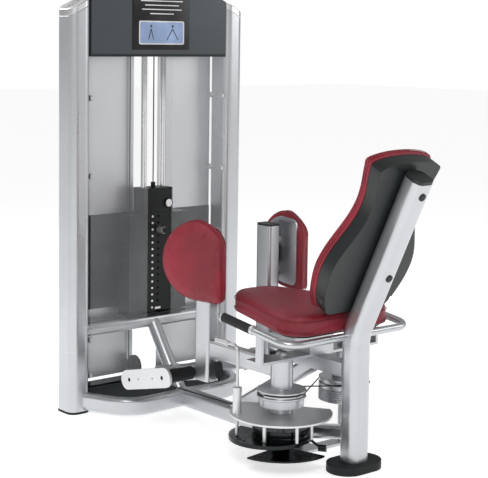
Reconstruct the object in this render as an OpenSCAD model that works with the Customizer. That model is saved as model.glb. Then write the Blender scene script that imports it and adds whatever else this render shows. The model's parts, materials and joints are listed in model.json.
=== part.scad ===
// Seated inner-thigh (adductor) machine with a selectorised weight stack.
// Lengths are millimetres. Shapes are drawn with the rear foot's axis at x = 0, y = 0
// and the floor at z = 0, then placed() moves them so that the middle of the
// footprint is the origin. +X is the user's right and +Y is the way the user faces.

/* [Tower] */
// Height of the crown of the header arch
overall_h = 1778; // [1600:1:2000]
// Outside width of the tower
tower_w = 898; // [760:1:1080]
// Distance from the rear foot's axis to the tower's axis
tower_y = 1240; // [1180:1:1500]
// Width of a tower upright
upright_w = 98; // [80:1:118]
// Depth of a tower upright
upright_d = 120; // [110:1:144]
// Corner radius of a tower upright
upright_r = 34; // [15:1:38]
// Wall of the steel tubes
wall = 3; // [2:0.5:5]
// Fall of the header arch from its crown to the outside of the tower
arch_drop = 118; // [60:1:160]
// Thickness of the bright caps on the uprights
cap_t = 26; // [10:1:40]
// Height of the lower edge of the header
header_z = 1469; // [1300:1:1560]
// Sheet thickness of the header housing
header_t = 3; // [2:0.5:6]
// Width of the instruction placard
placard_w = 295; // [150:1:360]
// Height of the instruction placard
placard_h = 246; // [120:1:255]
// Height of the lower edge of the shrouds
shroud_z = 110; // [90:1:140]
// Thickness of a shroud panel
shroud_t = 5; // [3:0.5:8]
// Width of the open slot between the shroud panels
slot_w = 128; // [90:1:160]
// Diameter of the tube across the tower
cross_d = 60; // [40:1:72]
// Diameter of the panel fasteners
fastener_d = 24; // [14:1:30]

/* [Weight stack] */
// Number of weight plates
plate_count = 15; // [10:1:20]
// Number of weight plates that the pin picks up
picked_plates = 3; // [1:1:9]
// Thickness of one weight plate
plate_t = 28; // [20:1:32]
// Width of a weight plate
plate_w = 300; // [240:1:360]
// Depth of a weight plate
plate_d = 80; // [60:1:84]
// Height of the underside of the stack
stack_z = 385; // [370:1:460]
// Height of the stack's head block
head_h = 107; // [60:1:130]
// Width of the stack's head block
head_w = 150; // [140:1:200]
// Diameter of a guide rod
rod_d = 25; // [18:1:30]
// Distance between the guide rods
rod_pitch = 100; // [80:1:110]
// Diameter of the selector pin
pin_d = 10; // [8:0.5:12]
// Diameter of the steel cable
cable_d = 5; // [4:0.5:6]

/* [Base] */
// Height of the base tubes
base_h = 72; // [60:1:80]
// Width of the base tubes
base_w = 46; // [36:1:56]
// Width of the spine
spine_w = 60; // [50:1:66]
// Clearance under the base tubes
base_gap = 12; // [8:1:14]
// Distance from the rear foot to the junction of the base tubes
junction_y = 1000; // [960:1:1010]
// Diameter of the brace up to the tower
brace_d = 58; // [40:1:64]
// Thickness of the rubber under the tower
foot_t = 8; // [5:1:14]
// Height of the rear rubber foot
rear_foot_h = 32; // [20:1:50]

/* [Seat] */
// Height of the underside of the seat cushion
seat_z = 500; // [480:1:540]
// Thickness of the seat cushion
seat_t = 85; // [60:1:100]
// Half width of the seat cushion at its widest
seat_half_w = 250; // [220:1:265]
// Nose radius of the seat cushion
seat_nose_r = 128; // [90:1:130]
// Width of the rear upright
mast_w = 90; // [70:1:100]
// Depth of the rear upright
mast_d = 85; // [70:1:95]
// Height at which the rear upright starts to lean
bend_z = 499; // [470:1:520]
// Lean of the backrest
lean = 25.7; // [15:0.1:30]
// Length of the leaning part of the rear upright
mast_lean_l = 645; // [560:1:700]
// Length of the backrest
back_l = 632; // [560:1:700]
// Thickness of the backrest's shell
shell_t = 52; // [30:1:60]
// Thickness of the backrest's cushion
back_t = 44; // [30:1:60]
// Diameter of the hand rail
rail_d = 28; // [22:1:32]
// Half width of the hand rail
rail_half_w = 306; // [300:1:330]
// Rise of the hand rail towards the grips
rail_rise = 7.3; // [0:0.1:10]
// Length of a hand grip
grip_l = 165; // [110:1:170]

/* [Arms] */
// Half distance between the two pivots
pivot_x = 156; // [150:1:175]
// Distance from the rear foot to the pivots
pivot_y = 224; // [210:1:240]
// Diameter of a pivot shaft
shaft_d = 30; // [20:1:34]
// Diameter of a pivot column
column_d = 83; // [70:1:90]
// Distance from a pivot to its post
arm_l = 440; // [420:1:470]
// Height of the arm's axis
arm_z = 346; // [335:1:348]
// Width of an arm tube
arm_w = 40; // [30:1:50]
// Height of an arm tube
arm_h = 70; // [50:1:72]
// Width of a pad post
post_w = 61; // [50:1:66]
// Depth of a pad post
post_d = 85; // [70:1:90]
// Height of the top of a pad post
post_top = 802; // [760:1:840]
// Height of a thigh pad
pad_h = 312; // [260:1:340]
// Depth of a thigh pad
pad_d = 250; // [220:1:260]
// Thickness of a thigh pad
pad_t = 58; // [40:1:66]
// Height of the middle of a thigh pad
pad_z = 701; // [690:1:720]
// Turn of the left pad about its pins at rest
left_pad_turn = 30; // [0:1:30]
// Diameter of the pad pins
pad_pin_d = 12; // [8:1:14]

/* [Foot rests] */
// Slope of the foot bar
foot_slope = 13.5; // [5:0.5:16]
// Length of a foot plate
foot_plate_l = 330; // [300:1:350]
// Height of a foot plate
foot_plate_h = 78; // [70:1:90]
// Thickness of a foot plate
foot_plate_t = 10; // [6:1:14]
// Diameter of a foot roller
roller_d = 52; // [40:1:60]
// Length of a foot roller
roller_l = 150; // [120:1:160]
// Distance between a foot plate's rollers
roller_pitch = 222; // [200:1:230]
// Width of a foot bar
foot_bar_w = 40; // [30:1:50]
// Height of a foot bar
foot_bar_h = 66; // [50:1:70]

/* [Range mechanism] */
// Diameter of the round plate that carries the pull pin
carrier_d = 378; // [360:1:380]
// Height of the carrier plate
carrier_z = 178; // [176:1:182]
// Thickness of the mechanism's plates
leaf_t = 8; // [5:1:9]
// Diameter of the cam plate
cam_d = 296; // [280:1:300]
// Height of the cam plate's upper face
cam_z = 102; // [100:1:106]
// Diameter of the cable drum under the carrier
drum_d = 210; // [180:1:214]
// Height of the cable drum
drum_h = 36; // [24:1:44]
// Diameter of the sync discs
sync_d = 182; // [170:1:190]
// Diameter of the pull pin
pull_d = 12; // [10:1:14]
// Travel of the pull pin

/* [Hidden] */
$fn = 72;

SATIN = [0.78, 0.80, 0.82];
SLATE = [0.22, 0.24, 0.26];
BLACK = [0.07, 0.08, 0.08];
VINYL = [0.55, 0.17, 0.22];
CLEAR = [0.85, 0.88, 0.90, 0.4];
BRIGHT = [0.88, 0.89, 0.90];

// Small fits
plate_gap = 0.4;   // air between weight plates
cut = 1;           // how far a cutting shape runs past what it cuts
run_fit = 0.09;    // radial clearance of a shaft that turns in a bore
slide_fit = 1;     // radial clearance of a plate on its guide rods
air = 0.4;         // gap between faces that move past each other

// Tower
upright_x = (tower_w - upright_w) / 2;
inner_x = upright_x - upright_w / 2;
tower_front = tower_y - upright_d / 2;
tower_back = tower_y + upright_d / 2;
arch_r = (pow(tower_w / 2, 2) + pow(arch_drop, 2)) / (2 * arch_drop);
arch_z = overall_h - arch_r;
header_inset = 6;
placard_t = 4;
placard_z = overall_h - 34 - placard_h;
front_y = tower_front + 4;
rear_y = tower_back - 4 - shroud_t;
guard_t = 3;
guard_y = rear_y - guard_t;
guard_low = 405;
guard_high = 805;
shroud_top = header_z - 1;
fastener_l = 12;
fastener_heights = [1300, 980, 300, 150];

// Weight stack
stack_y = front_y + shroud_t + 7 + plate_d / 2;
stack_top = stack_z + plate_count * plate_t;
picked_z = stack_top - picked_plates * plate_t;
head_top = stack_top + head_h;
bumper_t = 10;
bumper_d = 56;
rest_t = 8;
rest_top = stack_z - bumper_t;
cross_z = rest_top - rest_t - cross_d / 2;
selector_d = 16;
pin_z = picked_z + plate_t / 2;
pin_in = 14;
pin_knob_d = 28;
pin_knob_l = 40;
pin_knob_gap = 4;
dial_d = 40;
dial_t = 5;
dial_x = 52;
dial_z = stack_top + 40;
yoke_d = 20;
yoke_h = 22;

// Cable route
cable_gap = 0.4;
rise_x = -90;
rise_y = (guard_y + stack_y + plate_d / 2) / 2;
drum_groove_r = drum_d / 2 - 4;
drum_z = cam_z + drum_h / 2;
entry_z = 104;
base_pulley_r = 42;
top_pulley_r = norm([rise_x, rise_y - stack_y]) / 2;
top_pulley_turn = atan2(stack_y - rise_y, -rise_x);
crossmember_z = header_z + 6;
crossmember_h = 30;
top_pulley_z = crossmember_z + crossmember_h + top_pulley_r + 8;
pulley_t = 12;
pulley_lip = 4;
cheek_t = 4;
axle_d = 12;

// Base
bow_z = base_gap + base_h / 2;
spine_h = 76;
spine_r = 20;
spine_end_y = 300;
link_h = 60;
link_w = 50;
link_z = 136;
link_end = [spine_end_y + 40, 62];
tray_h = 84;
bow_bend_r = 140;
tray_t = 4;
tray_inset = 12;

// Rear upright and backrest
mast_r = 30;
mast_bend_r = 170;
rear_reach = -sin(lean) * mast_lean_l - cos(lean) * mast_d / 2;
mid_y = (tower_back + rear_reach) / 2;
end_cap_t = 12;
back_start = 62;
back_gap = 0.3;
back_bolts_at = [265, 598];

// Seat
bridge_z = 385;
bridge_t = 10;
bridge_half_w = 298;
bridge_y = [178, 262];
beam_w = 60;
beam_h = 50;
pan_t = 8;
pan_z = seat_z - pan_t;
seat_rear_y = 50;
seat_wide_y = 130;
seat_nose_y = 486;
rail_rear_y = 25;
rail_z = 485;
rail_corner = 62;
rail_tip_y = 380;
grip_d = 34;
rail_post_x = rail_half_w - rail_d / 2;
rail_post_y = 194;

// Arms
hub_low = carrier_z + leaf_t;
hub_top = bridge_z - air;
rim_h = 3;
arm_start = column_d / 2;
post_bottom = 215;
post_y = pivot_y + arm_l;
pad_pin_off = post_w / 2 + 18;
pad_plate_gap = 10;
pad_plate_t = 8;
lug_t = 14;
lug_heights = [pad_z - 81, pad_z + 39];
knuckle_h = 26;
foot_bar_z = 250;
foot_bar_rear = -80;
foot_bar_front = 320;
plate_off = foot_bar_w / 2 + roller_l;
roller_rear = 54;
axle_r = 8;

// Range mechanism
pull_off = [-140, 85];
pull_grip_z = 435;
sleeve_d = 33;
sleeve_top = 282;
cam_shift = [-38, 24];
cam_inner_r = 116;
index_count = 6;
index_step = 10;
wiper_gap = 0.5;
wiper_r = 126;
base_leaf_z = 14;
base_leaf_t = 10;

// ---------------------------------------------------------------- helpers

module placed() translate([0, -mid_y, 0]) children();

module rounded(w, d, r) {
    square([w - 2 * r, d], center = true);
    square([w, d - 2 * r], center = true);
    for (x = [-1, 1], y = [-1, 1])
        translate([x * (w / 2 - r), y * (d / 2 - r)]) circle(r);
}

module tube_section(w, d, r, t) {
    difference() {
        rounded(w, d, r);
        rounded(w - 2 * t, d - 2 * t, max(r - t, 1));
    }
}

// The same outline with its corners as short flats, for tubes that are bent
corner_flats = 6;
function soft_points(w, d, r) =
    [for (q = [0:3], i = [0:corner_flats])
        let (a = 90 * q + 90 * i / corner_flats,
             x = (q == 0 || q == 3 ? 1 : -1) * (w / 2 - r),
             y = (q < 2 ? 1 : -1) * (d / 2 - r))
        [x + r * cos(a), y + r * sin(a)]];
module soft_section(w, d, r) polygon(soft_points(w, d, r));
module soft_tube(w, d, r, t) {
    difference() {
        soft_section(w, d, r);
        soft_section(w - 2 * t, d - 2 * t, r - t);
    }
}

module stadium(l, h) {
    square([l - h, h], center = true);
    for (x = [-1, 1]) translate([x * (l - h) / 2, 0]) circle(d = h);
}

function unit(v) = v / norm(v);
function heading(v) = atan2(v[1], v[0]);
function swing(a, b) = let (d = heading(b) - heading(a)) d > 180 ? d - 360 : d < -180 ? d + 360 : d;

// A straight length of section from a to b in the XY plane; section x is across, y is up
module run(a, b) {
    translate([a[0], a[1], 0])
        rotate([0, 0, heading(b - a)])
            rotate([90, 0, 90])
                linear_extrude(norm(b - a)) children();
}

// The corner at b of the path a, b, c, rounded to radius r
module corner(a, b, c, r) {
    turn = swing(b - a, c - b);
    side = turn > 0 ? 1 : -1;
    back = r * tan(abs(turn) / 2);
    dir = unit(b - a);
    centre = b - dir * back + side * r * [-dir[1], dir[0]];
    start = heading(side * [dir[1], -dir[0]]);
    translate([centre[0], centre[1], 0])
        rotate([0, 0, turn > 0 ? start : start + turn])
            rotate_extrude(angle = abs(turn)) translate([r, 0]) children();
}

// One bend: straight, corner of radius r, straight
module bent(a, b, c, r) {
    back = r * tan(abs(swing(b - a, c - b)) / 2);
    run(a, b - unit(b - a) * back) children();
    corner(a, b, c, r) children();
    run(b + unit(c - b) * back, c) children();
}

// Stations along the path a, b, c with its corner rounded to radius r: [point, heading]
function bend_stations(a, b, c, r, steps) =
    let (turn = swing(b - a, c - b),
         side = turn > 0 ? 1 : -1,
         back = r * tan(abs(turn) / 2),
         start = heading(b - a),
         side_of = [for (t = [0:1]) side * r * [-sin(start + t * turn), cos(start + t * turn)]],
         centre = b - unit(b - a) * back + side_of[0])
    concat([[a, start]],
           [for (i = [0:steps]) let (t = start + turn * i / steps)
               [centre - side * r * [-sin(t), cos(t)], t]],
           [[c, start + turn]]);

// A hollow tube of one faceted section carried along stations
module carried_tube(stations, outer, inner) {
    n = len(outer);
    m = len(stations);
    points = [for (ring = [outer, inner], s = stations, p = ring)
        [s[0][0] - p[0] * sin(s[1]), s[0][1] + p[0] * cos(s[1]), p[1]]];
    skin = function(base, i, k, flip) let (
        a = base + n * i + k, b = base + n * i + (k + 1) % n, c = b + n, d = a + n)
        flip ? [a, b, c, d] : [d, c, b, a];
    lid = function(i, k, flip) let (
        a = n * i + k, b = n * i + (k + 1) % n, c = b + n * m, d = a + n * m)
        flip ? [a, b, c, d] : [d, c, b, a];
    polyhedron(points, [
        for (i = [0:m - 2], k = [0:n - 1]) skin(0, i, k, false),
        for (i = [0:m - 2], k = [0:n - 1]) skin(n * m, i, k, true),
        for (k = [0:n - 1]) lid(0, k, true),
        for (k = [0:n - 1]) lid(m - 1, k, false)
    ]);
}

// Turns the XY drawing plane up into the YZ plane: drawing x is +Y, drawing y is +Z
module side_on() multmatrix([[0, 0, 1, 0], [1, 0, 0, 0], [0, 1, 0, 0]]) children();

// A bar with a flat bore through it, standing on z
module ring(z, h, outer_r, bore_r) {
    translate([0, 0, z])
        difference() {
            cylinder(h = h, r = outer_r);
            translate([0, 0, -cut]) cylinder(h = h + 2 * cut, r = bore_r);
        }
}

module at_pivot(side) translate([side * pivot_x, pivot_y, 0]) children();
module at_post(side) translate([side * pivot_x, post_y, 0]) children();

// A cable as a tube of eight sides swept along a list of points
function along(p, i) =
    let (n = len(p)) unit(p[min(i + 1, n - 1)] - p[max(i - 1, 0)]);
function cable_ring(p, i, r) =
    let (t = along(p, i),
         ref = abs(t[2]) > 0.8 ? [1, 0, 0] : [0, 0, 1],
         u = unit(cross(t, ref)),
         w = cross(t, u))
    [for (k = [0:7]) p[i] + r * (cos(45 * k) * u + sin(45 * k) * w)];
module swept(p, d) {
    n = len(p);
    points = [for (i = [0:n - 1]) each cable_ring(p, i, d / 2)];
    sides = [for (i = [0:n - 2], k = [0:7])
        [8 * i + k, 8 * i + (k + 1) % 8, 8 * (i + 1) + (k + 1) % 8, 8 * (i + 1) + k]];
    first = [[for (k = [7:-1:0]) k]];
    last = [[for (k = [0:7]) 8 * (n - 1) + k]];
    polyhedron(points, concat(sides, first, last));
}

// Points on an arc about c in the XY plane
function arc(c, r, a, b, n, z) =
    [for (i = [0:n]) let (t = a + (b - a) * i / n) [c[0] + r * cos(t), c[1] + r * sin(t), z]];

// ---------------------------------------------------------------- tower

module upright_block(side, inset = 0) {
    translate([side * upright_x, tower_y, foot_t])
        linear_extrude(overall_h) rounded(upright_w - inset, upright_d - inset, upright_r);
}

// Everything in the tower's depth that lies under the arch lowered by drop
module under_arch(drop) {
    depth = upright_d + 2 * cut;
    translate([0, tower_front - cut, arch_z])
        rotate([-90, 0, 0]) cylinder(h = depth, r = arch_r - drop, $fn = 200);
    translate([-tower_w / 2 - cut, tower_front - cut, 0]) cube([tower_w + 2 * cut, depth, arch_z]);
}

module tower_uprights() {
    color(SATIN) placed()
        for (side = [-1, 1])
            intersection() {
                translate([side * upright_x, tower_y, foot_t])
                    linear_extrude(overall_h) tube_section(upright_w, upright_d, upright_r, wall);
                under_arch(cap_t);
            }
}

module upright_caps() {
    color(BRIGHT) placed()
        for (side = [-1, 1])
            difference() {
                intersection() {
                    upright_block(side);
                    under_arch(0);
                }
                under_arch(cap_t);
            }
}

module rubber_feet() {
    rim = 5;
    color(BLACK) placed() {
        for (side = [-1, 1])
            translate([side * upright_x, tower_y, 0])
                linear_extrude(foot_t) rounded(upright_w + rim, upright_d + rim, upright_r + rim / 2);
        linear_extrude(rear_foot_h) stadium(222, 146);
    }
}

module header_block(inset) {
    y = tower_front + header_inset + inset;
    d = upright_d - 2 * header_inset - 2 * inset;
    intersection() {
        translate([-inner_x + inset, y, header_z - (inset > 0 ? cut : 0)])
            cube([2 * (inner_x - inset), d, overall_h]);
        under_arch(inset);
    }
}

module header_housing() {
    color(SLATE) placed()
        difference() {
            header_block(0);
            header_block(header_t);
        }
}

module placard() {
    color(BLACK) placed()
        translate([-placard_w / 2, tower_front + header_inset - placard_t, placard_z])
            cube([placard_w, placard_t, placard_h]);
}

module panel_pair(y, t, z, top) {
    for (side = [-1, 1])
        translate([side > 0 ? slot_w / 2 : -inner_x, y, z])
            cube([inner_x - slot_w / 2, t, top - z]);
}

module front_panels() {
    color(CLEAR) placed() panel_pair(front_y, shroud_t, shroud_z, shroud_top);
}

module rear_panels() {
    color(SATIN) placed() panel_pair(rear_y, shroud_t, shroud_z, shroud_top);
}

module stack_guard() {
    color(BLACK) placed()
        translate([-inner_x, guard_y, guard_low])
            cube([2 * inner_x, guard_t, guard_high - guard_low]);
}

// Round pads on the uprights that the shroud panels are screwed to
module panel_fasteners() {
    color(BRIGHT) placed()
        for (side = [-1, 1], z = fastener_heights, y = [front_y + shroud_t, rear_y])
            translate([side * inner_x, y + (y > tower_y ? -1 : 1) * fastener_d / 2, z])
                rotate([0, -side * 90, 0]) cylinder(h = fastener_l, d = fastener_d);
}

module guide_rods() {
    color(BRIGHT) placed()
        for (side = [-1, 1])
            translate([side * rod_pitch / 2, stack_y, rest_top])
                cylinder(h = crossmember_z - rest_top, d = rod_d);
}

// Fork that holds a pulley: two cheeks and an axle, drawn about the pulley's centre,
// with the pulley's plane in XZ; reach runs down (or up) to what carries it
module fork(reach, up) {
    gap = pulley_t / 2 + air;
    for (side = [-1, 1])
        translate([-axle_d, side > 0 ? gap : -gap - cheek_t, up ? -axle_d : -reach])
            cube([2 * axle_d, cheek_t, reach + axle_d]);
    rotate([90, 0, 0]) cylinder(h = 2 * (gap + cheek_t), d = axle_d, center = true);
}

module top_crossmember() {
    lift_hole = 2 * cable_d;
    mid = [rise_x / 2, (rise_y + stack_y) / 2, top_pulley_z];
    color(SLATE) placed() {
        difference() {
            translate([header_t - inner_x, stack_y - plate_d / 2, crossmember_z])
                cube([2 * (inner_x - header_t), plate_d, crossmember_h]);
            translate([0, stack_y, crossmember_z - cut])
                cylinder(h = crossmember_h + 2 * cut, d = lift_hole);
        }
        translate(mid) rotate([0, 0, top_pulley_turn])
            fork(top_pulley_z - crossmember_z - crossmember_h, false);
    }
}

module cross_tube() {
    color(SATIN) placed()
        translate([-inner_x, stack_y, cross_z]) rotate([0, 90, 0])
            difference() {
                cylinder(h = 2 * inner_x, d = cross_d);
                translate([0, 0, -cut]) cylinder(h = 2 * inner_x + 2 * cut, d = cross_d - 2 * wall);
            }
}

module rod_bores(z, h, d) {
    for (side = [-1, 1])
        translate([side * rod_pitch / 2, stack_y, z - cut]) cylinder(h = h + 2 * cut, d = d);
}

module stack_rest() {
    color(BLACK) placed() {
        translate([-plate_w / 2, stack_y - plate_d / 2, rest_top - rest_t])
            cube([plate_w, plate_d, rest_t]);
        difference() {
            for (side = [-1, 1])
                translate([side * rod_pitch / 2, stack_y, rest_top])
                    cylinder(h = bumper_t, d = bumper_d);
            rod_bores(rest_top, bumper_t, rod_d + 2 * run_fit);
        }
    }
}

module weight_plate(z) {
    difference() {
        translate([-plate_w / 2, stack_y - plate_d / 2, z]) cube([plate_w, plate_d, plate_t - plate_gap]);
        rod_bores(z, plate_t, rod_d + 2 * slide_fit);
        translate([0, stack_y, z - cut]) cylinder(h = plate_t + 2 * cut, d = selector_d + 2 * slide_fit);
        translate([0, stack_y - plate_d / 2 - cut, z + plate_t / 2]) rotate([-90, 0, 0])
            cylinder(h = plate_d / 2 + pin_in + cut, d = pin_d + 2 * run_fit);
    }
}

module resting_plates() {
    color(BLACK) placed()
        for (i = [0:plate_count - picked_plates - 1]) weight_plate(stack_z + i * plate_t);
}

module lifted_plates() {
    color(BLACK) placed()
        for (i = [0:picked_plates - 1]) weight_plate(picked_z + i * plate_t);
}

// Head block of the stack with the small add-weight dial and the cable's yoke
module stack_head() {
    color(BLACK) placed() {
        difference() {
            translate([-head_w / 2, stack_y - plate_d / 2, stack_top]) cube([head_w, plate_d, head_h]);
            rod_bores(stack_top, head_h, rod_d + 2 * slide_fit);
            translate([0, stack_y, stack_top - cut])
                cylinder(h = head_h / 2 + cut, d = selector_d + 2 * run_fit);
        }
        translate([0, stack_y, head_top]) cylinder(h = yoke_h, d = yoke_d);
        translate([dial_x, stack_y - plate_d / 2, dial_z]) rotate([90, 0, 0])
            cylinder(h = dial_t, d = dial_d);
    }
}

module selector_rod() {
    tip = stack_z + plate_t / 2;
    color(BRIGHT) placed()
        difference() {
            translate([0, stack_y, tip]) cylinder(h = stack_top + head_h / 2 - tip, d = selector_d);
            translate([0, stack_y, pin_z]) rotate([-90, 0, 0])
                cylinder(h = 2 * selector_d, d = pin_d + 2 * run_fit, center = true);
        }
}

module selector_pin() {
    knob_y = stack_y - plate_d / 2 - pin_knob_gap;
    color(BRIGHT) placed()
        translate([0, knob_y, pin_z]) rotate([90, 0, 0]) {
            cylinder(h = pin_knob_l, d = pin_knob_d);
            translate([0, 0, -pin_knob_gap - plate_d / 2 - pin_in + cut])
                cylinder(h = plate_d / 2 + pin_in + pin_knob_gap, d = pin_d);
        }
}

// ---------------------------------------------------------------- cables and pulleys

module pulley(r) {
    rotate([90, 0, 0]) rotate_extrude()
        polygon([
            [axle_d / 2 + run_fit, -pulley_t / 2],
            [r + pulley_lip, -pulley_t / 2],
            [r - cable_d / 2 - cable_gap, -cable_d / 4],
            [r - cable_d / 2 - cable_gap, cable_d / 4],
            [r + pulley_lip, pulley_t / 2],
            [axle_d / 2 + run_fit, pulley_t / 2]
        ]);
}

module top_pulley() {
    color(BLACK) placed()
        translate([rise_x / 2, (rise_y + stack_y) / 2, top_pulley_z])
            rotate([0, 0, top_pulley_turn]) pulley(top_pulley_r);
}

base_pulley_at = [rise_x, rise_y - base_pulley_r, entry_z + base_pulley_r];

module base_pulley() {
    color(BLACK) placed() translate(base_pulley_at) rotate([0, 0, 90]) pulley(base_pulley_r);
}

module base_tray() {
    y = front_y + tray_inset;
    d = rear_y + shroud_t - y;
    fork_up = base_pulley_at[2] - base_gap - tray_t;
    color(BLACK) placed() {
        difference() {
            translate([-inner_x, y, base_gap]) cube([2 * inner_x, d, tray_h]);
            translate([-inner_x - cut, y + tray_t, base_gap + tray_t])
                cube([2 * inner_x + 2 * cut, d - 2 * tray_t, tray_h]);
        }
        translate(base_pulley_at) rotate([0, 0, 90]) fork(fork_up, false);
    }
}

// The long cable: round the drum, forward to the foot of the tower, up and over
to_tower = [rise_x + pivot_x, base_pulley_at[1] - pivot_y];
drum_leave = heading(to_tower) - acos(drum_groove_r / norm(to_tower));
drum_exit = [-pivot_x + drum_groove_r, pivot_y, drum_z];
main_route = concat(
    arc([-pivot_x, pivot_y], drum_groove_r, -180, drum_leave, 34, drum_z),
    [
        [(drum_exit[0] + rise_x) / 2, (pivot_y + base_pulley_at[1]) / 2, (drum_z + entry_z) / 2]
    ],
    [for (t = [-90:10:0])
        [rise_x, base_pulley_at[1] + base_pulley_r * cos(t), base_pulley_at[2] + base_pulley_r * sin(t)]],
    [[rise_x, rise_y, (entry_z + top_pulley_z) / 2]],
    [for (t = [180:-10:0])
        [rise_x / 2 + top_pulley_r * cos(t) * cos(top_pulley_turn),
         (rise_y + stack_y) / 2 + top_pulley_r * cos(t) * sin(top_pulley_turn),
         top_pulley_z + top_pulley_r * sin(t)]]
);

module main_cable() {
    color(BLACK) placed() swept(main_route, cable_d);
}

module lift_cable() {
    color(BLACK) placed()
        translate([0, stack_y, head_top + yoke_h])
            cylinder(h = top_pulley_z - cut - head_top - yoke_h, d = cable_d);
}

// Two crossed cables make the arms open and close together
sync_r = sync_d / 2 - 4;
sync_z = [257, 263];
sync_lean = acos(sync_r / pivot_x);
function sync_route(s, z) = concat(
    arc([-pivot_x, pivot_y], sync_r, s * (sync_lean + 120), s * sync_lean, 10, z),
    arc([pivot_x, pivot_y], sync_r, 180 + s * sync_lean, 180 + s * (sync_lean + 60), 6, z)
);

module sync_cables() {
    color(BLACK) placed() {
        swept(sync_route(1, sync_z[0]), cable_d);
        swept(sync_route(-1, sync_z[1]), cable_d);
    }
}

// ---------------------------------------------------------------- base

module bow_path(side, start, extra) {
    a = [side * (inner_x + 34), start];
    b = [side * (inner_x - 73), tower_front - 193];
    c = [0, junction_y] + extra * unit([0, junction_y] - b);
    bent(a, b, c, bow_bend_r) children();
}

module base_bow(side) {
    color(SATIN) placed()
        difference() {
            translate([0, 0, bow_z])
                bow_path(side, tower_front + upright_r, 0) soft_tube(base_w, base_h, 18, wall);
            upright_block(side);
            spine_block();
            // the plane halfway between the two bows
            translate([side > 0 ? -base_w : 0, junction_y - base_w, 0])
                cube([base_w, 2 * base_w, base_h + base_gap + cut]);
        }
}

module base_bow_left() base_bow(-1);
module base_bow_right() base_bow(1);

module spine_block() {
    translate([0, spine_end_y, base_gap + spine_h / 2])
        rotate([-90, 0, 0]) linear_extrude(junction_y + 26 - spine_end_y) rounded(spine_w, spine_h, spine_r);
}

module mast_block() {
    translate([0, 0, rear_foot_h]) linear_extrude(bend_z - rear_foot_h) rounded(mast_w, mast_d, mast_r);
}

module spine() {
    link_start = [0, link_z];
    color(SATIN) placed() {
        difference() {
            translate([0, spine_end_y, base_gap + spine_h / 2])
                rotate([-90, 0, 0]) linear_extrude(junction_y + 26 - spine_end_y)
                    tube_section(spine_w, spine_h, spine_r, wall);
        }
        difference() {
            side_on() run(link_start, link_end) rounded(link_w, link_h, 14);
            mast_block();
            spine_block();
        }
    }
}

module tower_brace() {
    top = [0, stack_y, cross_z];
    foot = [0, junction_y + 22, base_gap + spine_h / 2];
    v = top - foot;
    color(SATIN) placed()
        difference() {
            translate(foot) rotate([-atan2(v[1], v[2]), 0, 0])
                difference() {
                    cylinder(h = norm(v), d = brace_d);
                    translate([0, 0, -cut]) cylinder(h = norm(v) + 2 * cut, d = brace_d - 2 * wall);
                }
            spine_block();
            translate([0, 0, bow_z]) for (side = [-1, 1])
                bow_path(side, tower_front, 0) soft_section(base_w, base_h, 18);
            translate(top) rotate([0, 90, 0]) cylinder(h = 4 * brace_d, d = cross_d, center = true);
            translate([-brace_d, junction_y - base_w, -cut])
                cube([2 * brace_d, 8 * base_w, base_gap + base_h + cut]);
        }
}

// ---------------------------------------------------------------- rear upright, seat, back

// Frame of the leaning part: z runs up the lean, y is the way the backrest faces
module leaning() translate([0, 0, bend_z]) rotate([lean, 0, 0]) children();

module rear_upright() {
    a = [0, rear_foot_h];
    b = [0, bend_z];
    c = b + mast_lean_l * [-sin(lean), cos(lean)];
    color(SATIN) placed() side_on()
        carried_tube(bend_stations(a, b, c, mast_bend_r, 6),
                     soft_points(mast_d, mast_w, mast_r),
                     soft_points(mast_d - 2 * wall, mast_w - 2 * wall, mast_r - wall));
}

module upright_end_cap() {
    color(BLACK) placed()
        leaning() translate([0, 0, mast_lean_l])
            linear_extrude(end_cap_t) rounded(mast_w - 2, mast_d - 2, mast_r - 1);
}

// Half width of the backrest at fraction t of its length
function back_half(t) =
    t < 0.30 ? 158 + 50 * sin(90 * t / 0.30)
    : t < 0.74 ? 167 + 41 * cos(180 * (t - 0.30) / 0.44)
    : 126 + 30 * (1 - cos(180 * (t - 0.74) / 0.30)) / 2;

back_steps = 28;
module back_outline(inset) {
    top_rise = 34;
    side = [for (i = [0:back_steps]) let (t = i / back_steps)
        [back_half(t) - inset, inset + t * (back_l - top_rise - 2 * inset)]];
    crown = [for (a = [80:-10:-80])
        [(back_half(1) - inset) * sin(a), back_l - top_rise - inset + top_rise * cos(a)]];
    foot_r = 40;
    intersection() {
        polygon(concat(side, crown, [for (p = [back_steps:-1:0]) [-side[p][0], side[p][1]]]));
        union() {
            translate([0, foot_r + inset]) square([600, back_l]);
            translate([-600, foot_r + inset]) square([600, back_l]);
            translate([0, foot_r + inset]) stadium(2 * (back_half(0) - inset) + 20, 2 * foot_r);
        }
    }
}

module back_slab(from_y, t, inset) {
    leaning() translate([0, from_y + t, back_start])
        rotate([90, 0, 0]) linear_extrude(t) back_outline(inset);
}

module back_shell() {
    color(BLACK) placed() back_slab(mast_d / 2 + back_gap, shell_t, 6);
}

module back_cushion() {
    color(VINYL) placed() back_slab(mast_d / 2 + back_gap + shell_t, back_t, 0);
}

module frame_bolts() {
    cap_d = 28;
    color(BLACK) placed() {
        for (z = back_bolts_at)
            leaning() translate([0, -mast_d / 2, z]) rotate([90, 0, 0]) cylinder(h = 4, d = cap_d);
        translate([mast_w / 2, 0, 310]) rotate([0, 90, 0]) cylinder(h = 26, d = 12);
    }
}

module seat_outline(inset) {
    r = seat_nose_r - inset;
    corner_r = 90;
    x = seat_half_w - corner_r;
    hull() {
        translate([0, seat_nose_y]) circle(r, $fn = 64);
        for (side = [-1, 1]) {
            translate([side * x, seat_wide_y]) circle(corner_r - inset, $fn = 48);
            translate([side * (x - 40), seat_rear_y + corner_r]) circle(corner_r - inset, $fn = 48);
        }
    }
}

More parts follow.
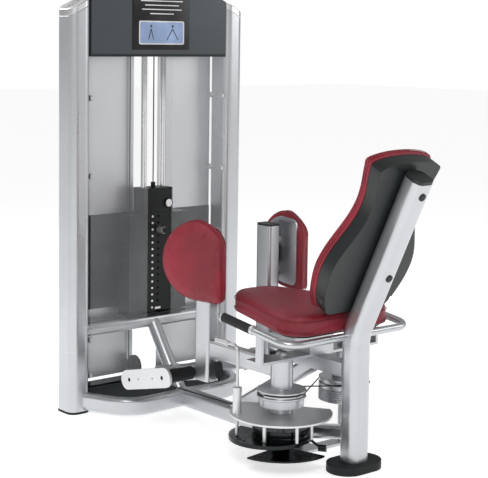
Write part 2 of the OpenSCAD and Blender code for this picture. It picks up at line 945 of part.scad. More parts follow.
module seat_pan() {
    color(BLACK) placed() translate([0, 0, pan_z]) linear_extrude(pan_t) seat_outline(24);
}

module seat_cushion() {
    color(VINYL) placed() translate([0, 0, seat_z]) linear_extrude(seat_t) seat_outline(0);
}

module seat_supports() {
    beam_front = 300;
    weld = 15;
    brace_top = [beam_front - 100, bridge_z - beam_h / 2];
    brace_foot = [700, base_gap + spine_h / 2];
    color(SATIN) placed() {
        translate([-beam_w / 2, mast_d / 2, bridge_z - beam_h])
            cube([beam_w, beam_front - mast_d / 2, beam_h]);
        translate([-60, bridge_y[0], bridge_z + bridge_t])
            cube([120, bridge_y[1] - bridge_y[0], pan_z - bridge_z - bridge_t]);
        difference() {
            side_on() run(brace_top, brace_foot) soft_section(60, 44, 15);
            spine_block();
            translate([-beam_w, -cut, bridge_z - beam_h + weld])
                cube([2 * beam_w, beam_front + 60, 3 * beam_h]);
        }
    }
}

// The cross plate that carries both pivots, with the hand rail's two posts
module pivot_bridge() {
    post_t = 12;
    post_w_y = 32;
    color(SATIN) placed()
        difference() {
            union() {
                translate([-bridge_half_w, bridge_y[0], bridge_z])
                    cube([2 * bridge_half_w, bridge_y[1] - bridge_y[0], bridge_t]);
                for (side = [-1, 1])
                    translate([side * rail_post_x - post_t / 2, rail_post_y - post_w_y / 2, bridge_z])
                        cube([post_t, post_w_y, rail_z - bridge_z + 60]);
            }
            for (side = [-1, 1])
                translate([side * pivot_x, pivot_y, bridge_z - cut])
                    cylinder(h = bridge_t + 2 * cut, d = shaft_d);
            rail_plane() rail_shape(rail_d);
            rail_plane() translate([0, 0, rail_d / 2]) linear_extrude(200)
                translate([-2 * rail_half_w, -100]) square([4 * rail_half_w, 800]);
        }
}

module pivot_shafts() {
    low = base_leaf_z + base_leaf_t;
    nut_d = 44;
    nut_h = 12;
    collar_h = 6;
    color(BRIGHT) placed()
        for (side = [-1, 1]) at_pivot(side) {
            translate([0, 0, low]) cylinder(h = bridge_z + bridge_t - low, d = shaft_d);
            translate([0, 0, bridge_z + bridge_t]) cylinder(h = nut_h, d = nut_d);
            z = side < 0 ? cam_low - collar_h - air : hub_low - collar_h - air;
            ring(z, collar_h, shaft_d / 2 + 6, shaft_d / 2);
        }
}

// The plate on the floor side that the pivot shafts stand on
module pivot_base() {
    bar_d = 60;
    color(SLATE) placed()
        translate([0, 0, base_leaf_z]) linear_extrude(base_leaf_t) {
            translate([0, pivot_y]) stadium(2 * pivot_x + bar_d, bar_d);
            translate([-bar_d / 2, pivot_y]) square([bar_d, spine_end_y - pivot_y]);
        }
}

// ---------------------------------------------------------------- hand rail

module rail_plane() translate([0, rail_rear_y, rail_z]) rotate([rail_rise, 0, 0]) children();

rail_run = (rail_tip_y - rail_rear_y) / cos(rail_rise);

module rail_shape(d) {
    for (side = [-1, 1]) {
        bent([0, 0], [side * rail_half_w, 0], [side * rail_half_w, rail_run - grip_l], rail_corner)
            circle(d = d);
    }
}

module handle_frame() {
    color(SATIN) placed()
        difference() {
            rail_plane() {
                rail_shape(rail_d);
                for (side = [-1, 1])
                    run([side * rail_half_w, rail_run - grip_l - cut], [side * rail_half_w, rail_run - 8])
                        circle(d = rail_d - 6);
            }
            mast_block();
        }
}

module handle_grips() {
    color(BLACK) placed()
        rail_plane()
            for (side = [-1, 1])
                difference() {
                    run([side * rail_half_w, rail_run - grip_l], [side * rail_half_w, rail_run])
                        circle(d = grip_d);
                    run([side * rail_half_w, rail_run - grip_l - cut], [side * rail_half_w, rail_run - 8])
                        circle(d = rail_d - 6);
                }
}

// ---------------------------------------------------------------- arms

cam_t = 14;
cam_low = cam_z - cam_t - 44;

module left_hub() {
    bore = shaft_d / 2 + run_fit;
    color(SATIN) placed() at_pivot(-1) rotate_extrude()
        polygon([
            [bore, carrier_z + leaf_t], [42, carrier_z + leaf_t], [42, 214], [84, 214], [84, 244],
            [sync_d / 2, 246], [sync_d / 2, 252], [sync_r - 3, 254], [sync_r - 3, 266],
            [sync_d / 2, 268], [sync_d / 2, 274], [column_d / 2, 276],
            [column_d / 2, hub_top - rim_h], [column_d / 2 + 2, hub_top - rim_h],
            [column_d / 2 + 2, hub_top], [bore, hub_top]
        ]);
}

module right_hub() {
    bore = shaft_d / 2 + run_fit;
    ribs = 6;
    rib = 8;
    rib_low = 190;
    side = [for (i = [0:ribs - 1], k = [0:3])
        [sync_d / 2 - (k == 1 || k == 2 ? 4 : 0), rib_low + i * rib + k * rib / 4]];
    color(SATIN) placed() at_pivot(1) rotate_extrude()
        polygon(concat(
            [[bore, rib_low - 4], [sync_d / 2, rib_low - 4]], side,
            [[sync_d / 2, 246], [sync_d / 2, 252], [sync_r - 3, 254], [sync_r - 3, 266],
             [sync_d / 2, 268], [sync_d / 2, 274], [column_d / 2, 276],
             [column_d / 2, hub_top - rim_h], [column_d / 2 + 2, hub_top - rim_h],
             [column_d / 2 + 2, hub_top], [bore, hub_top]]
        ));
}

// Frame of the foot bar: y runs down its slope from under the post
module foot_frame(side)
    at_post(side) translate([0, 0, foot_bar_z]) rotate([-foot_slope, 0, 0]) children();

module foot_bar_block(side, from, to) {
    foot_frame(side) translate([0, from, 0]) rotate([-90, 0, 0])
        linear_extrude(to - from) rounded(foot_bar_w, foot_bar_h, 14);
}

module post_block(side) {
    at_post(side) translate([0, 0, post_bottom])
        linear_extrude(post_top - post_bottom) rounded(post_w, post_d, 16);
}

module arm_tubes(side) {
    color(SATIN) placed() {
        difference() {
            at_pivot(side) translate([0, arm_start - 10, arm_z]) rotate([-90, 0, 0])
                linear_extrude(arm_l) tube_section(arm_w, arm_h, 12, wall);
            post_block(side);
            at_pivot(side) cylinder(h = overall_h, d = column_d);
            translate([side * pivot_x - post_w, post_y, 0]) cube([2 * post_w, post_d, overall_h]);
        }
        difference() {
            foot_bar_block(side, 0, foot_bar_front);
            post_block(side);
        }
    }
}

module left_arm_tubes() arm_tubes(-1);
module right_arm_tubes() arm_tubes(1);

// Post with the four ears that hold the pad's pins
module post(side) {
    ear_r = pad_plate_gap - air;
    color(SATIN) placed()
        difference() {
            union() {
                at_post(side) translate([0, 0, post_bottom])
                    linear_extrude(post_top - post_bottom) tube_section(post_w, post_d, 16, wall);
                for (z = lug_heights, e = [-1, 1])
                    at_post(side) translate([0, 0, z + e * (knuckle_h / 2 + air + lug_t / 2) - lug_t / 2]) {
                        translate([side * pad_pin_off, 0, 0]) cylinder(h = lug_t, r = ear_r);
                        translate([side > 0 ? post_w / 2 - wall : -pad_pin_off, -ear_r, 0])
                            cube([pad_pin_off - post_w / 2 + wall, 2 * ear_r, lug_t]);
                    }
            }
            at_post(side) translate([side * pad_pin_off, 0, post_bottom])
                cylinder(h = post_top, d = pad_pin_d + 2 * run_fit);
        }
}

module left_post() post(-1);
module right_post() post(1);

module post_caps(side) {
    color(BLACK) placed() {
        at_post(side) translate([0, 0, post_top]) linear_extrude(8) rounded(post_w, post_d, 16);
        difference() {
            foot_bar_block(side, foot_bar_rear, -post_d / 2 + 30);
            post_block(side);
        }
    }
}

module left_post_caps() post_caps(-1);
module right_post_caps() post_caps(1);

// Stadium plate at the outer end of the rollers
module foot_plate(side) {
    holes = [-roller_pitch / 2, -roller_pitch / 4 + 8, roller_pitch / 4 - 8, roller_pitch / 2];
    mid = roller_rear + roller_pitch / 2;
    color(BRIGHT) placed()
        foot_frame(side) translate([side * plate_off, mid, 0])
            rotate([90, 0, side * 90]) difference() {
                linear_extrude(foot_plate_t) stadium(foot_plate_l, foot_plate_h);
                for (x = holes)
                    translate([x, 0, -cut])
                        cylinder(h = foot_plate_t + 2 * cut, r = abs(x) > roller_pitch / 3 ? axle_r + run_fit : 4);
            }
}

module left_foot_plate() foot_plate(-1);
module right_foot_plate() foot_plate(1);

// Foam rollers on the pegs that join the foot bar to the foot plate
module rollers(side) {
    end_gap = 2;
    post_gap = (post_w - foot_bar_w) / 2 + end_gap;
    color(BLACK) placed()
        foot_frame(side) for (k = [0, 1])
            translate([side * foot_bar_w / 2, roller_rear + k * roller_pitch, 0])
                rotate([0, side * 90, 0]) {
                    cylinder(h = roller_l + foot_plate_t - 2, r = axle_r);
                    translate([0, 0, post_gap]) cylinder(h = roller_l - post_gap - end_gap, d = roller_d);
                }
}

module left_rollers() rollers(-1);
module right_rollers() rollers(1);

// Pad frame: origin on the pins at the pad's mid height, +x away from the post
module pad_frame(side, turn)
    at_post(side) translate([side * pad_pin_off, 0, pad_z])
        rotate([0, 0, side > 0 ? -turn : 180 + turn]) children();

// Rear edge straight, front edge round: seen from the side, +x is towards the tower
module pad_outline(inset, side) {
    h = pad_h - 2 * inset;
    d = pad_d - 2 * inset;
    round_d = d * 0.62;
    corner_r = 26;
    scale([side, 1]) hull() {
        intersection() {
            translate([pad_d / 2 - inset - round_d, 0]) scale([round_d / (h / 2), 1]) circle(h / 2, $fn = 64);
            translate([pad_d / 2 - inset - round_d, -h]) square([2 * h, 2 * h]);
        }
        for (z = [-1, 1])
            translate([-d / 2 + corner_r, z * (h / 2 - corner_r) - 6]) circle(corner_r, $fn = 32);
    }
}

module pad_plate(side, turn) {
    color(SATIN) placed() {
        pad_frame(side, turn) {
            translate([pad_plate_gap, 0, 0])
                rotate([90, 0, 90]) linear_extrude(pad_plate_t) pad_outline(22, side);
            for (z = lug_heights)
                translate([0, 0, z - pad_z - knuckle_h / 2]) difference() {
                    union() {
                        cylinder(h = knuckle_h, r = 9);
                        translate([0, -9, 0]) cube([pad_plate_gap, 18, knuckle_h]);
                    }
                }
        }
        at_post(side) for (z = lug_heights)
            translate([side * pad_pin_off, 0, z - knuckle_h / 2 - lug_t])
                cylinder(h = knuckle_h + 2 * lug_t, d = pad_pin_d);
    }
}

module left_pad_plate() pad_plate(-1, left_pad_turn);
module right_pad_plate() pad_plate(1, 0);

module thigh_pad(side, turn) {
    color(VINYL) placed()
        pad_frame(side, turn) translate([pad_plate_gap + pad_plate_t, 0, 0])
            rotate([90, 0, 90]) linear_extrude(pad_t) pad_outline(0, side);
}

module left_pad() thigh_pad(-1, left_pad_turn);
module right_pad() thigh_pad(1, 0);

// ---------------------------------------------------------------- range mechanism

pull_r = norm(pull_off);
pull_turn = heading(pull_off);

// Round plate under the left hub, with the pull pin's sleeve and three wipers
module carrier_plate() {
    chord = 94;
    bore = shaft_d / 2 + run_fit;
    color(SATIN) placed() at_pivot(-1) {
        difference() {
            union() {
                translate([0, 0, carrier_z]) linear_extrude(leaf_t) difference() {
                    circle(d = carrier_d, $fn = 120);
                    rotate(34.8) translate([chord, -carrier_d]) square(2 * carrier_d);
                    circle(bore);
                }
                translate([pull_off[0], pull_off[1], carrier_z])
                    cylinder(h = sleeve_top - carrier_z, d = sleeve_d);
            }
            translate([pull_off[0], pull_off[1], carrier_z - cut])
                cylinder(h = overall_h, d = pull_d + 2 * run_fit);
        }
        for (a = [-70, 200, 255])
            rotate(a) translate([wiper_r, 0, cam_z + wiper_gap])
                cylinder(h = carrier_z - cam_z - wiper_gap, d = 14);
    }
}

// Spring pull pin with its side grip; its nose rests on the cam between two index holes
module pull_pin() {
    low = cam_z + 0.3;
    rod = 18;
    bend = 22;
    color(BRIGHT) placed() at_pivot(-1) translate([pull_off[0], pull_off[1], 0]) {
        translate([0, 0, low]) cylinder(h = sleeve_top + 2 - low, d = pull_d);
        side_on() {
            a = [0, sleeve_top + 1];
            b = [0, pull_grip_z];
            c = [52, pull_grip_z];
            bent(a, b, c, bend) circle(d = rod - 6);
        }
        translate([0, 50, pull_grip_z]) rotate([-90, 0, 0]) cylinder(h = 76, d = rod);
    }
}

module cam_outline(inset) {
    reach = 400;
    union() {
        circle(cam_inner_r - inset);
        intersection() {
            translate(cam_shift) circle(d = cam_d - 2 * inset, $fn = 120);
            polygon([[0, 0], [reach * cos(105), reach * sin(105)], [-reach, reach],
                     [-reach, -reach], [reach * cos(-55), -reach], [reach * cos(-55), reach * sin(-55)]]);
        }
    }
}

// Index plate, cable drum, lower leaf and stop arm in one turning piece
module cam() {
    bore = shaft_d / 2 + run_fit;
    leaf_r = 190;
    leaf_from = 189;
    leaf_to = 285;
    leaf_z = cam_low + 8;
    stop_r = 158;
    stop_turn = -55;
    groove = cable_d / 2 + cable_gap;
    color(BLACK) placed() at_pivot(-1) {
        difference() {
            translate([0, 0, cam_z - cam_t]) linear_extrude(cam_t) cam_outline(0);
            translate([0, 0, cam_low]) cylinder(h = 200, r = bore);
            for (i = [0:index_count - 1])
                rotate(pull_turn + (i - (index_count - 1) / 2) * index_step)
                    translate([pull_r, 0, cam_z - cam_t - cut])
                        cylinder(h = cam_t + 2 * cut, d = pull_d + 1);
        }
        rotate_extrude() polygon([
            [bore, cam_low], [34, cam_low], [34, cam_z - cam_t], [bore, cam_z - cam_t]
        ]);
        rotate_extrude() polygon([
            [bore, cam_z], [drum_d / 2, cam_z], [drum_d / 2, drum_z - groove - 2],
            [drum_groove_r - groove, drum_z - groove], [drum_groove_r - groove, drum_z + groove],
            [drum_d / 2, drum_z + groove + 2], [drum_d / 2, cam_z + drum_h], [bore, cam_z + drum_h]
        ]);
        translate([0, 0, leaf_z]) rotate([0, 0, leaf_from])
            rotate_extrude(angle = leaf_to - leaf_from)
                translate([33, 0]) square([leaf_r - 33, leaf_t - 2]);
        rotate(stop_turn) {
            translate([cam_inner_r - 10, 0, cam_z - cam_t / 2]) rotate([0, 125, 0]) cylinder(h = 52, d = 10);
            translate([stop_r - 16, 0, cam_z - cam_t - 24]) rotate([0, 90, 0]) cylinder(h = 30, d = 26);
        }
    }
}

// ---------------------------------------------------------------- output

tower_uprights();
upright_caps();
rubber_feet();
header_housing();
placard();
front_panels();
rear_panels();
stack_guard();
panel_fasteners();
guide_rods();
top_crossmember();
cross_tube();
stack_rest();
resting_plates();
base_tray();
tower_brace();
base_bow_left();
base_bow_right();
spine();
rear_upright();
upright_end_cap();
seat_supports();
pivot_bridge();
pivot_shafts();
pivot_base();
seat_pan();
seat_cushion();
back_shell();
back_cushion();
frame_bolts();
handle_frame();
handle_grips();
main_cable();
sync_cables();
stack_head();
lifted_plates();
selector_rod();
lift_cable();
selector_pin();
top_pulley();
base_pulley();
left_hub();
right_hub();
left_arm_tubes();
right_arm_tubes();
left_post();
right_post();
left_post_caps();
right_post_caps();
left_foot_plate();
right_foot_plate();
left_rollers();
right_rollers();
left_pad_plate();
right_pad_plate();
left_pad();
right_pad();
carrier_plate();
pull_pin();
cam();
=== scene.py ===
"""Looks for a seated inner-thigh machine: silver frame, burgundy upholstery, shrouded weight stack.

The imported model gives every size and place. This file dresses its solids, replaces the soft and the
plainly built ones with finer surfaces, and adds the small fittings. Lengths are metres, +Z is up and
+Y is the way the user faces.
"""

from __future__ import annotations

import functools
import json
import logging
import math
from dataclasses import dataclass, field
from enum import Enum
from typing import Any, Callable, Iterable, Sequence

import bmesh
import bpy
import numpy as np
from mathutils import Matrix, Vector
from mathutils.geometry import convex_hull_2d

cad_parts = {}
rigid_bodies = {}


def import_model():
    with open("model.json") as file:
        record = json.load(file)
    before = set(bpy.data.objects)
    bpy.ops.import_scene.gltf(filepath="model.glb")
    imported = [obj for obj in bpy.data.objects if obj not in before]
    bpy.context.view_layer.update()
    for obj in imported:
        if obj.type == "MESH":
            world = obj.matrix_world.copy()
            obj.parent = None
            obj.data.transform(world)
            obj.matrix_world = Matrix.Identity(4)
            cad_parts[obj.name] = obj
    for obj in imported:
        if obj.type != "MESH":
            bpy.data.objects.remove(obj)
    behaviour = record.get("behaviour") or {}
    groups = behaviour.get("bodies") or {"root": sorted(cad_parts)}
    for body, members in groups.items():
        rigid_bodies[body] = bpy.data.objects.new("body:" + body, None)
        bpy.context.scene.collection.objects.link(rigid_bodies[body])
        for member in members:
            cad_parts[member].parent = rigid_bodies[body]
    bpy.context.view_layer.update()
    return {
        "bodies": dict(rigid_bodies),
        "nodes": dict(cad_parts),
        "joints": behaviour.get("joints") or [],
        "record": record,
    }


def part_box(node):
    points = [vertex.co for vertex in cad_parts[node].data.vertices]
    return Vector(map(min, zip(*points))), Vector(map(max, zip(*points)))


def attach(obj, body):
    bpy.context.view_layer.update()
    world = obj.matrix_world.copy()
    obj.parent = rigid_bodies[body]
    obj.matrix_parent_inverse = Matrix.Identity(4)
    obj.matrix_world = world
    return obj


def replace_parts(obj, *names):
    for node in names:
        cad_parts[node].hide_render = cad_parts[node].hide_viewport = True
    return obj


log = logging.getLogger("machine")
Points = np.ndarray
Object = bpy.types.Object
Colour = tuple[float, float, float]


# ------------------------------------------------------------------ shader graphs


class Wire:
    """The value that leaves a node's socket. Arithmetic on it adds Math nodes."""

    def __init__(self, graph: "Graph", socket: bpy.types.NodeSocket) -> None:
        """Keeps the graph and the socket that this value comes from."""
        self.graph = graph
        self.socket = socket

    def _math(self, operation: str, *values: Any) -> "Wire":
        """Adds one Math node on these values."""
        return self.graph.node("ShaderNodeMath", {"operation": operation}, dict(enumerate(values)))

    def __add__(self, other: Any) -> "Wire":
        """self + other."""
        return self._math("ADD", self, other)

    def __radd__(self, other: Any) -> "Wire":
        """other + self."""
        return self._math("ADD", other, self)

    def __mul__(self, other: Any) -> "Wire":
        """self * other."""
        return self._math("MULTIPLY", self, other)

    def __rmul__(self, other: Any) -> "Wire":
        """other * self."""
        return self._math("MULTIPLY", other, self)

    def sine(self) -> "Wire":
        """The sine of self, in radians."""
        return self._math("SINE", self)

    def ramp(self, low: float, high: float, first: float = 0.0, last: float = 1.0) -> "Wire":
        """Maps low..high smoothly to first..last.

        Args:
            low: the value that gives first.
            high: the value that gives last.
            first: the result at low.
            last: the result at high.

        Returns:
            The mapped value.
        """
        links = {"Value": self, "From Min": low, "From Max": high, "To Min": first, "To Max": last}
        return self.graph.node("ShaderNodeMapRange", {"interpolation_type": "SMOOTHSTEP"}, links)


class Graph:
    """One material's node tree, built from Python expressions."""

    def __init__(self, name: str) -> None:
        """Starts a material with a Principled shader joined to its output."""
        self.material = bpy.data.materials.new(name)
        self.material.use_nodes = True
        self.tree = self.material.node_tree
        self.tree.nodes.clear()
        self.shader = self.tree.nodes.new("ShaderNodeBsdfPrincipled")
        output = self.tree.nodes.new("ShaderNodeOutputMaterial")
        self.tree.links.new(self.shader.outputs[0], output.inputs["Surface"])
        self.place = self.node("ShaderNodeTexCoord", output="Object")

    def node(
        self,
        kind: str,
        settings: dict[str, Any] | None = None,
        links: dict[Any, Any] | None = None,
        output: Any = 0,
    ) -> Wire:
        """Adds a node.

        Args:
            kind: the node's type.
            settings: attributes that are set before its sockets, such as a Math node's operation.
            links: what goes into each input, by name or number, a Wire or a plain value.
            output: the name or number of the output that is returned.

        Returns:
            The wire that leaves that output.
        """
        made = self.tree.nodes.new(kind)
        for key, value in (settings or {}).items():
            setattr(made, key, value)
        for key, value in (links or {}).items():
            self.put(made.inputs[key], value)
        return Wire(self, made.outputs[output])

    def put(self, socket: bpy.types.NodeSocket, value: Any) -> None:
        """Links a wire to a socket, or sets a plain value on it."""
        if isinstance(value, Wire):
            self.tree.links.new(value.socket, socket)
        elif socket.type == "RGBA":
            socket.default_value = (*value[:3], 1.0)
        else:
            socket.default_value = value

    def noise(
        self, scale: float, detail: float = 3.0, roughness: float = 0.5, place: Wire | None = None
    ) -> Wire:
        """Fractal noise with about scale features in a metre."""
        links = {"Vector": place or self.place, "Scale": scale, "Detail": detail, "Roughness": roughness}
        return self.node("ShaderNodeTexNoise", {}, links)

    def cells(self, scale: float, place: Wire | None = None) -> Wire:
        """Distance to the edge between Voronoi cells, as leather grain has."""
        links = {"Vector": place or self.place, "Scale": scale}
        return self.node("ShaderNodeTexVoronoi", {"feature": "DISTANCE_TO_EDGE"}, links, "Distance")

    def stretched(self, scale: Sequence[float]) -> Wire:
        """Object coordinates multiplied axis by axis, for brushed and ribbed patterns."""
        return self.node("ShaderNodeMapping", {}, {"Vector": self.place, "Scale": tuple(scale)}, "Vector")

    def axis(self, name: str) -> Wire:
        """One object coordinate: X, Y or Z."""
        return self.node("ShaderNodeSeparateXYZ", {}, {"Vector": self.place}, name)

    def mix(self, factor: Wire, first: Any, second: Any) -> Wire:
        """Blends two colours by a factor from 0 to 1."""
        made = self.tree.nodes.new("ShaderNodeMix")
        made.data_type = "RGBA"
        self.put(made.inputs[0], factor)
        self.put(made.inputs[6], first)
        self.put(made.inputs[7], second)
        return Wire(self, made.outputs[2])

    def bump(self, height: Wire, depth: float, strength: float = 1.0) -> None:
        """Raises the surface by height times depth metres."""
        links = {"Height": height, "Distance": depth, "Strength": strength}
        self.put(self.shader.inputs["Normal"], self.node("ShaderNodeBump", {}, links, "Normal"))

    def set(self, **values: Any) -> None:
        """Sets the shader's inputs; an underscore in a name stands for a space."""
        for key, value in values.items():
            self.put(self.shader.inputs[key.replace("_", " ")], value)


# ------------------------------------------------------------------ finishes


@dataclass(frozen=True)
class Finish:
    """A surface finish. One material is made for each name."""

    name: str
    colour: Colour

    def material(self) -> bpy.types.Material:
        """The finish's material, made on first use."""
        found = bpy.data.materials.get(self.name)
        if found is None:
            graph = Graph(self.name)
            self.paint(graph)
            found = graph.material
        return found

    def paint(self, graph: Graph) -> None:
        """Builds the nodes."""
        graph.set(Base_Color=self.colour)

    def shaded(self, low: float, high: float) -> tuple[Colour, Colour]:
        """The colour darkened by low and lightened by high."""
        dark = tuple(c * low for c in self.colour)
        light = tuple(min(c * high, 1.0) for c in self.colour)
        return dark, light


@dataclass(frozen=True)
class MetallicPaint(Finish):
    """Sprayed metallic paint: fine flake, a faint orange peel and soft handling marks."""

    roughness: float = 0.31
    metallic: float = 0.88
    flake: float = 0.05

    def paint(self, graph: Graph) -> None:
        """Flake varies the colour, large noise varies the roughness, small noise is the peel."""
        dark, light = self.shaded(1.0 - self.flake, 1.0 + self.flake)
        flake = graph.noise(1900.0, 1.0)
        cloud = graph.noise(5.0, 3.0)
        graph.set(
            Base_Color=graph.mix(flake.ramp(0.35, 0.65), dark, light),
            Roughness=cloud.ramp(0.3, 0.7, self.roughness - 0.04, self.roughness + 0.05),
            Metallic=self.metallic,
            Coat_Weight=0.25,
            Coat_Roughness=0.22,
        )
        graph.bump(graph.noise(420.0, 2.0), 0.00006)


@dataclass(frozen=True)
class Metal(Finish):
    """Bare or plated metal with fine lines left by machining."""

    roughness: float = 0.22
    grain: tuple[float, float, float] = (60.0, 60.0, 900.0)
    depth: float = 0.00002

    def paint(self, graph: Graph) -> None:
        """Stretched noise gives the lines; broad noise gives smears."""
        dark, light = self.shaded(0.90, 1.05)
        lines = graph.noise(1.0, 4.0, 0.6, graph.stretched(self.grain))
        smear = graph.noise(14.0, 4.0)
        graph.set(
            Base_Color=graph.mix(lines.ramp(0.3, 0.7), dark, light),
            Roughness=smear.ramp(0.3, 0.75, self.roughness * 0.8, self.roughness * 1.35),
            Metallic=1.0,
        )
        graph.bump(lines, self.depth)


@dataclass(frozen=True)
class Moulded(Finish):
    """Moulded plastic or rubber with a fine spark-eroded texture."""

    roughness: float = 0.45
    texture: float = 700.0
    depth: float = 0.00008
    coat: float = 0.0

    def paint(self, graph: Graph) -> None:
        """Fine noise is the texture; broad noise is dust and wear."""
        dark, light = self.shaded(0.85, 1.35)
        dust = graph.noise(9.0, 4.0)
        graph.set(
            Base_Color=graph.mix(dust.ramp(0.4, 0.8), dark, light),
            Roughness=dust.ramp(0.3, 0.8, self.roughness - 0.05, self.roughness + 0.09),
            Specular_IOR_Level=0.28,
            Coat_Weight=self.coat,
            Coat_Roughness=0.15,
        )
        graph.bump(graph.noise(self.texture, 2.0), self.depth)


@dataclass(frozen=True)
class Vinyl(Finish):
    """Upholstery vinyl: leather grain, a soft sheen and slight rubbing."""

    roughness: float = 0.46

    def paint(self, graph: Graph) -> None:
        """Voronoi edges are the grain and noise breaks them up."""
        dark, light = self.shaded(0.82, 1.22)
        grain = graph.cells(620.0).ramp(0.0, 0.16)
        fine = graph.noise(1500.0, 2.0)
        rub = graph.noise(7.0, 3.0)
        graph.set(
            Base_Color=graph.mix(rub.ramp(0.3, 0.75), dark, light),
            Roughness=rub.ramp(0.3, 0.7, self.roughness - 0.05, self.roughness + 0.06),
            Sheen_Weight=0.08,
            Sheen_Roughness=0.45,
            Sheen_Tint=(0.9, 0.45, 0.5),
        )
        graph.bump(grain * 0.7 + fine * 0.3, 0.00016)


@dataclass(frozen=True)
class ClearSheet(Finish):
    """Clear acrylic: mostly see-through, with a glossy skin and a trace of haze."""

    opacity: float = 0.07

    def paint(self, graph: Graph) -> None:
        """Haze and scuffs vary the opacity."""
        haze = graph.noise(3.0, 3.0)
        graph.set(
            Base_Color=self.colour,
            Roughness=graph.noise(3.0, 1.0).ramp(0.2, 0.8, 0.05, 0.07),
            Alpha=haze.ramp(0.2, 0.8, self.opacity * 0.8, self.opacity * 1.3),
            Specular_IOR_Level=0.6,
        )


@dataclass(frozen=True)
class Ribbed(Finish):
    """Soft black foam or rubber with ribs round it along one axis, with painted shade in the grooves and
    painted highlight on the crests.
    """

    pitch: float = 0.006
    along: str = "Y"
    depth: float = 0.0006

    def paint(self, graph: Graph) -> None:
        """A sine along the axis makes the ribs: it bumps them, and paints their grooves darker as painted
        shade and their crests lighter as painted highlight.
        """
        rib_and_painted_shade = (graph.axis(self.along) * (2.0 * math.pi / self.pitch)).sine().ramp(-0.6, 0.8)
        pore = graph.noise(1200.0, 2.0)
        # painted shade and painted highlight: rib grooves go to 0.6 and crests to 1.6 times the colour
        dark, light = self.shaded(0.6, 1.6)
        graph.set(Base_Color=graph.mix(rib_and_painted_shade, dark, light), Roughness=pore.ramp(0.3, 0.7, 0.62, 0.78))
        graph.bump(rib_and_painted_shade + pore * 0.15, self.depth)


class Look(Enum):
    """The finishes of this machine."""

    SILVER = MetallicPaint("satin_silver_paint", (0.56, 0.575, 0.595))
    SLATE = MetallicPaint("slate_paint", (0.043, 0.053, 0.061), roughness=0.42, metallic=0.25, flake=0.12)
    CAP = Metal("cast_cap_alloy", (0.74, 0.745, 0.75), roughness=0.30, grain=(500.0, 30.0, 500.0))
    REAR = MetallicPaint("rear_sheet_paint", (0.62, 0.635, 0.65), roughness=0.34, metallic=0.9, flake=0.02)
    CLEAR = ClearSheet("clear_acrylic", (0.80, 0.83, 0.85))
    GUARD = Moulded("stack_guard_black", (0.012, 0.018, 0.019), roughness=0.35)
    IRON = Moulded("stack_enamel", (0.006, 0.0075, 0.008), roughness=0.36, texture=500.0, depth=0.00004)
    CHROME = Metal("guide_rod_chrome", (0.76, 0.77, 0.78), roughness=0.10, grain=(30.0, 30.0, 1400.0))
    STEEL = Metal("plated_steel", (0.63, 0.64, 0.65), roughness=0.24, grain=(400.0, 400.0, 400.0))
    ALLOY = Metal("machined_alloy", (0.66, 0.67, 0.68), roughness=0.36, grain=(900.0, 90.0, 90.0))
    DARK_STEEL = Metal("black_cam_plate", (0.030, 0.033, 0.035), roughness=0.22, grain=(90.0, 700.0, 90.0))
    RUBBER = Moulded("foot_rubber", (0.012, 0.014, 0.015), roughness=0.62, texture=420.0)
    SHELL = Moulded("shell_plastic", (0.0028, 0.0052, 0.0052), roughness=0.42, texture=900.0)
    VINYL = Vinyl("burgundy_vinyl", (0.265, 0.014, 0.029))
    GRIP = Ribbed("grip_rubber", (0.012, 0.013, 0.014))
    FOAM = Moulded("roller_foam", (0.010, 0.011, 0.012), roughness=0.70, texture=300.0, depth=0.0003)
    CABLE = Moulded("cable_jacket", (0.009, 0.009, 0.010), roughness=0.35)
    GLOSS = Moulded("placard_black", (0.006, 0.006, 0.007), roughness=0.16, coat=0.6, depth=0.00001)
    WHITE = Moulded("white_print", (0.80, 0.80, 0.80), roughness=0.40, depth=0.00001)
    PALE_BLUE = Moulded("pale_blue_print", (0.30, 0.40, 0.62), roughness=0.35, depth=0.00001)


# ------------------------------------------------------------------ mesh building


def unit(vectors: Points) -> Points:
    """Each row divided by its length."""
    length = np.linalg.norm(vectors, axis=-1, keepdims=True)
    return vectors / np.where(length < 1e-12, 1.0, length)


def grid_faces(rows: int, columns: int) -> np.ndarray:
    """Quads between neighbouring rows of a grid whose columns close on themselves."""
    row, column = np.meshgrid(np.arange(rows - 1), np.arange(columns), indexing="ij")
    after = (column + 1) % columns
    here, above = row * columns, (row + 1) * columns
    quads = [here + column, here + after, above + after, above + column]
    return np.stack(quads, -1).reshape(-1, 4)


def build(name: str, rings: Points, capped: bool = True, smooth: float = 35.0) -> Object:
    """Makes an object from closed rings of points.

    Args:
        name: the object's name.
        rings: an array of rings by points by 3.
        capped: whether the first and last rings are closed with a face.
        smooth: edges sharper than this many degrees stay hard.

    Returns:
        The object, with merged points and outward faces.
    """
    rows, columns = rings.shape[:2]
    faces = grid_faces(rows, columns).tolist()
    if capped:
        faces += [list(range(columns)), [(rows - 1) * columns + k for k in range(columns)]]
    mesh = bpy.data.meshes.new(name)
    mesh.from_pydata(rings.reshape(-1, 3).tolist(), [], faces)
    return tidy(link(name, mesh), smooth)


def link(name: str, mesh: bpy.types.Mesh) -> Object:
    """Adds an object at the origin that shows this mesh."""
    made = bpy.data.objects.new(name, mesh)
    bpy.context.scene.collection.objects.link(made)
    return made


def tidy(made: Object, smooth: float) -> Object:
    """Merges doubled points, turns faces outwards and smooths all but the sharp edges."""
    shape = bmesh.new()
    shape.from_mesh(made.data)
    bmesh.ops.remove_doubles(shape, verts=shape.verts, dist=1e-6)
    bmesh.ops.dissolve_degenerate(shape, dist=1e-7, edges=shape.edges)
    bmesh.ops.recalc_face_normals(shape, faces=shape.faces)
    shape.to_mesh(made.data)
    shape.free()
    shade(made.data, smooth)
    return made


def shade(mesh: bpy.types.Mesh, smooth: float) -> None:
    """Smooth shading with hard edges above an angle in degrees."""
    mesh.polygons.foreach_set("use_smooth", np.ones(len(mesh.polygons), bool))
    mesh.set_sharp_from_angle(angle=math.radians(smooth))


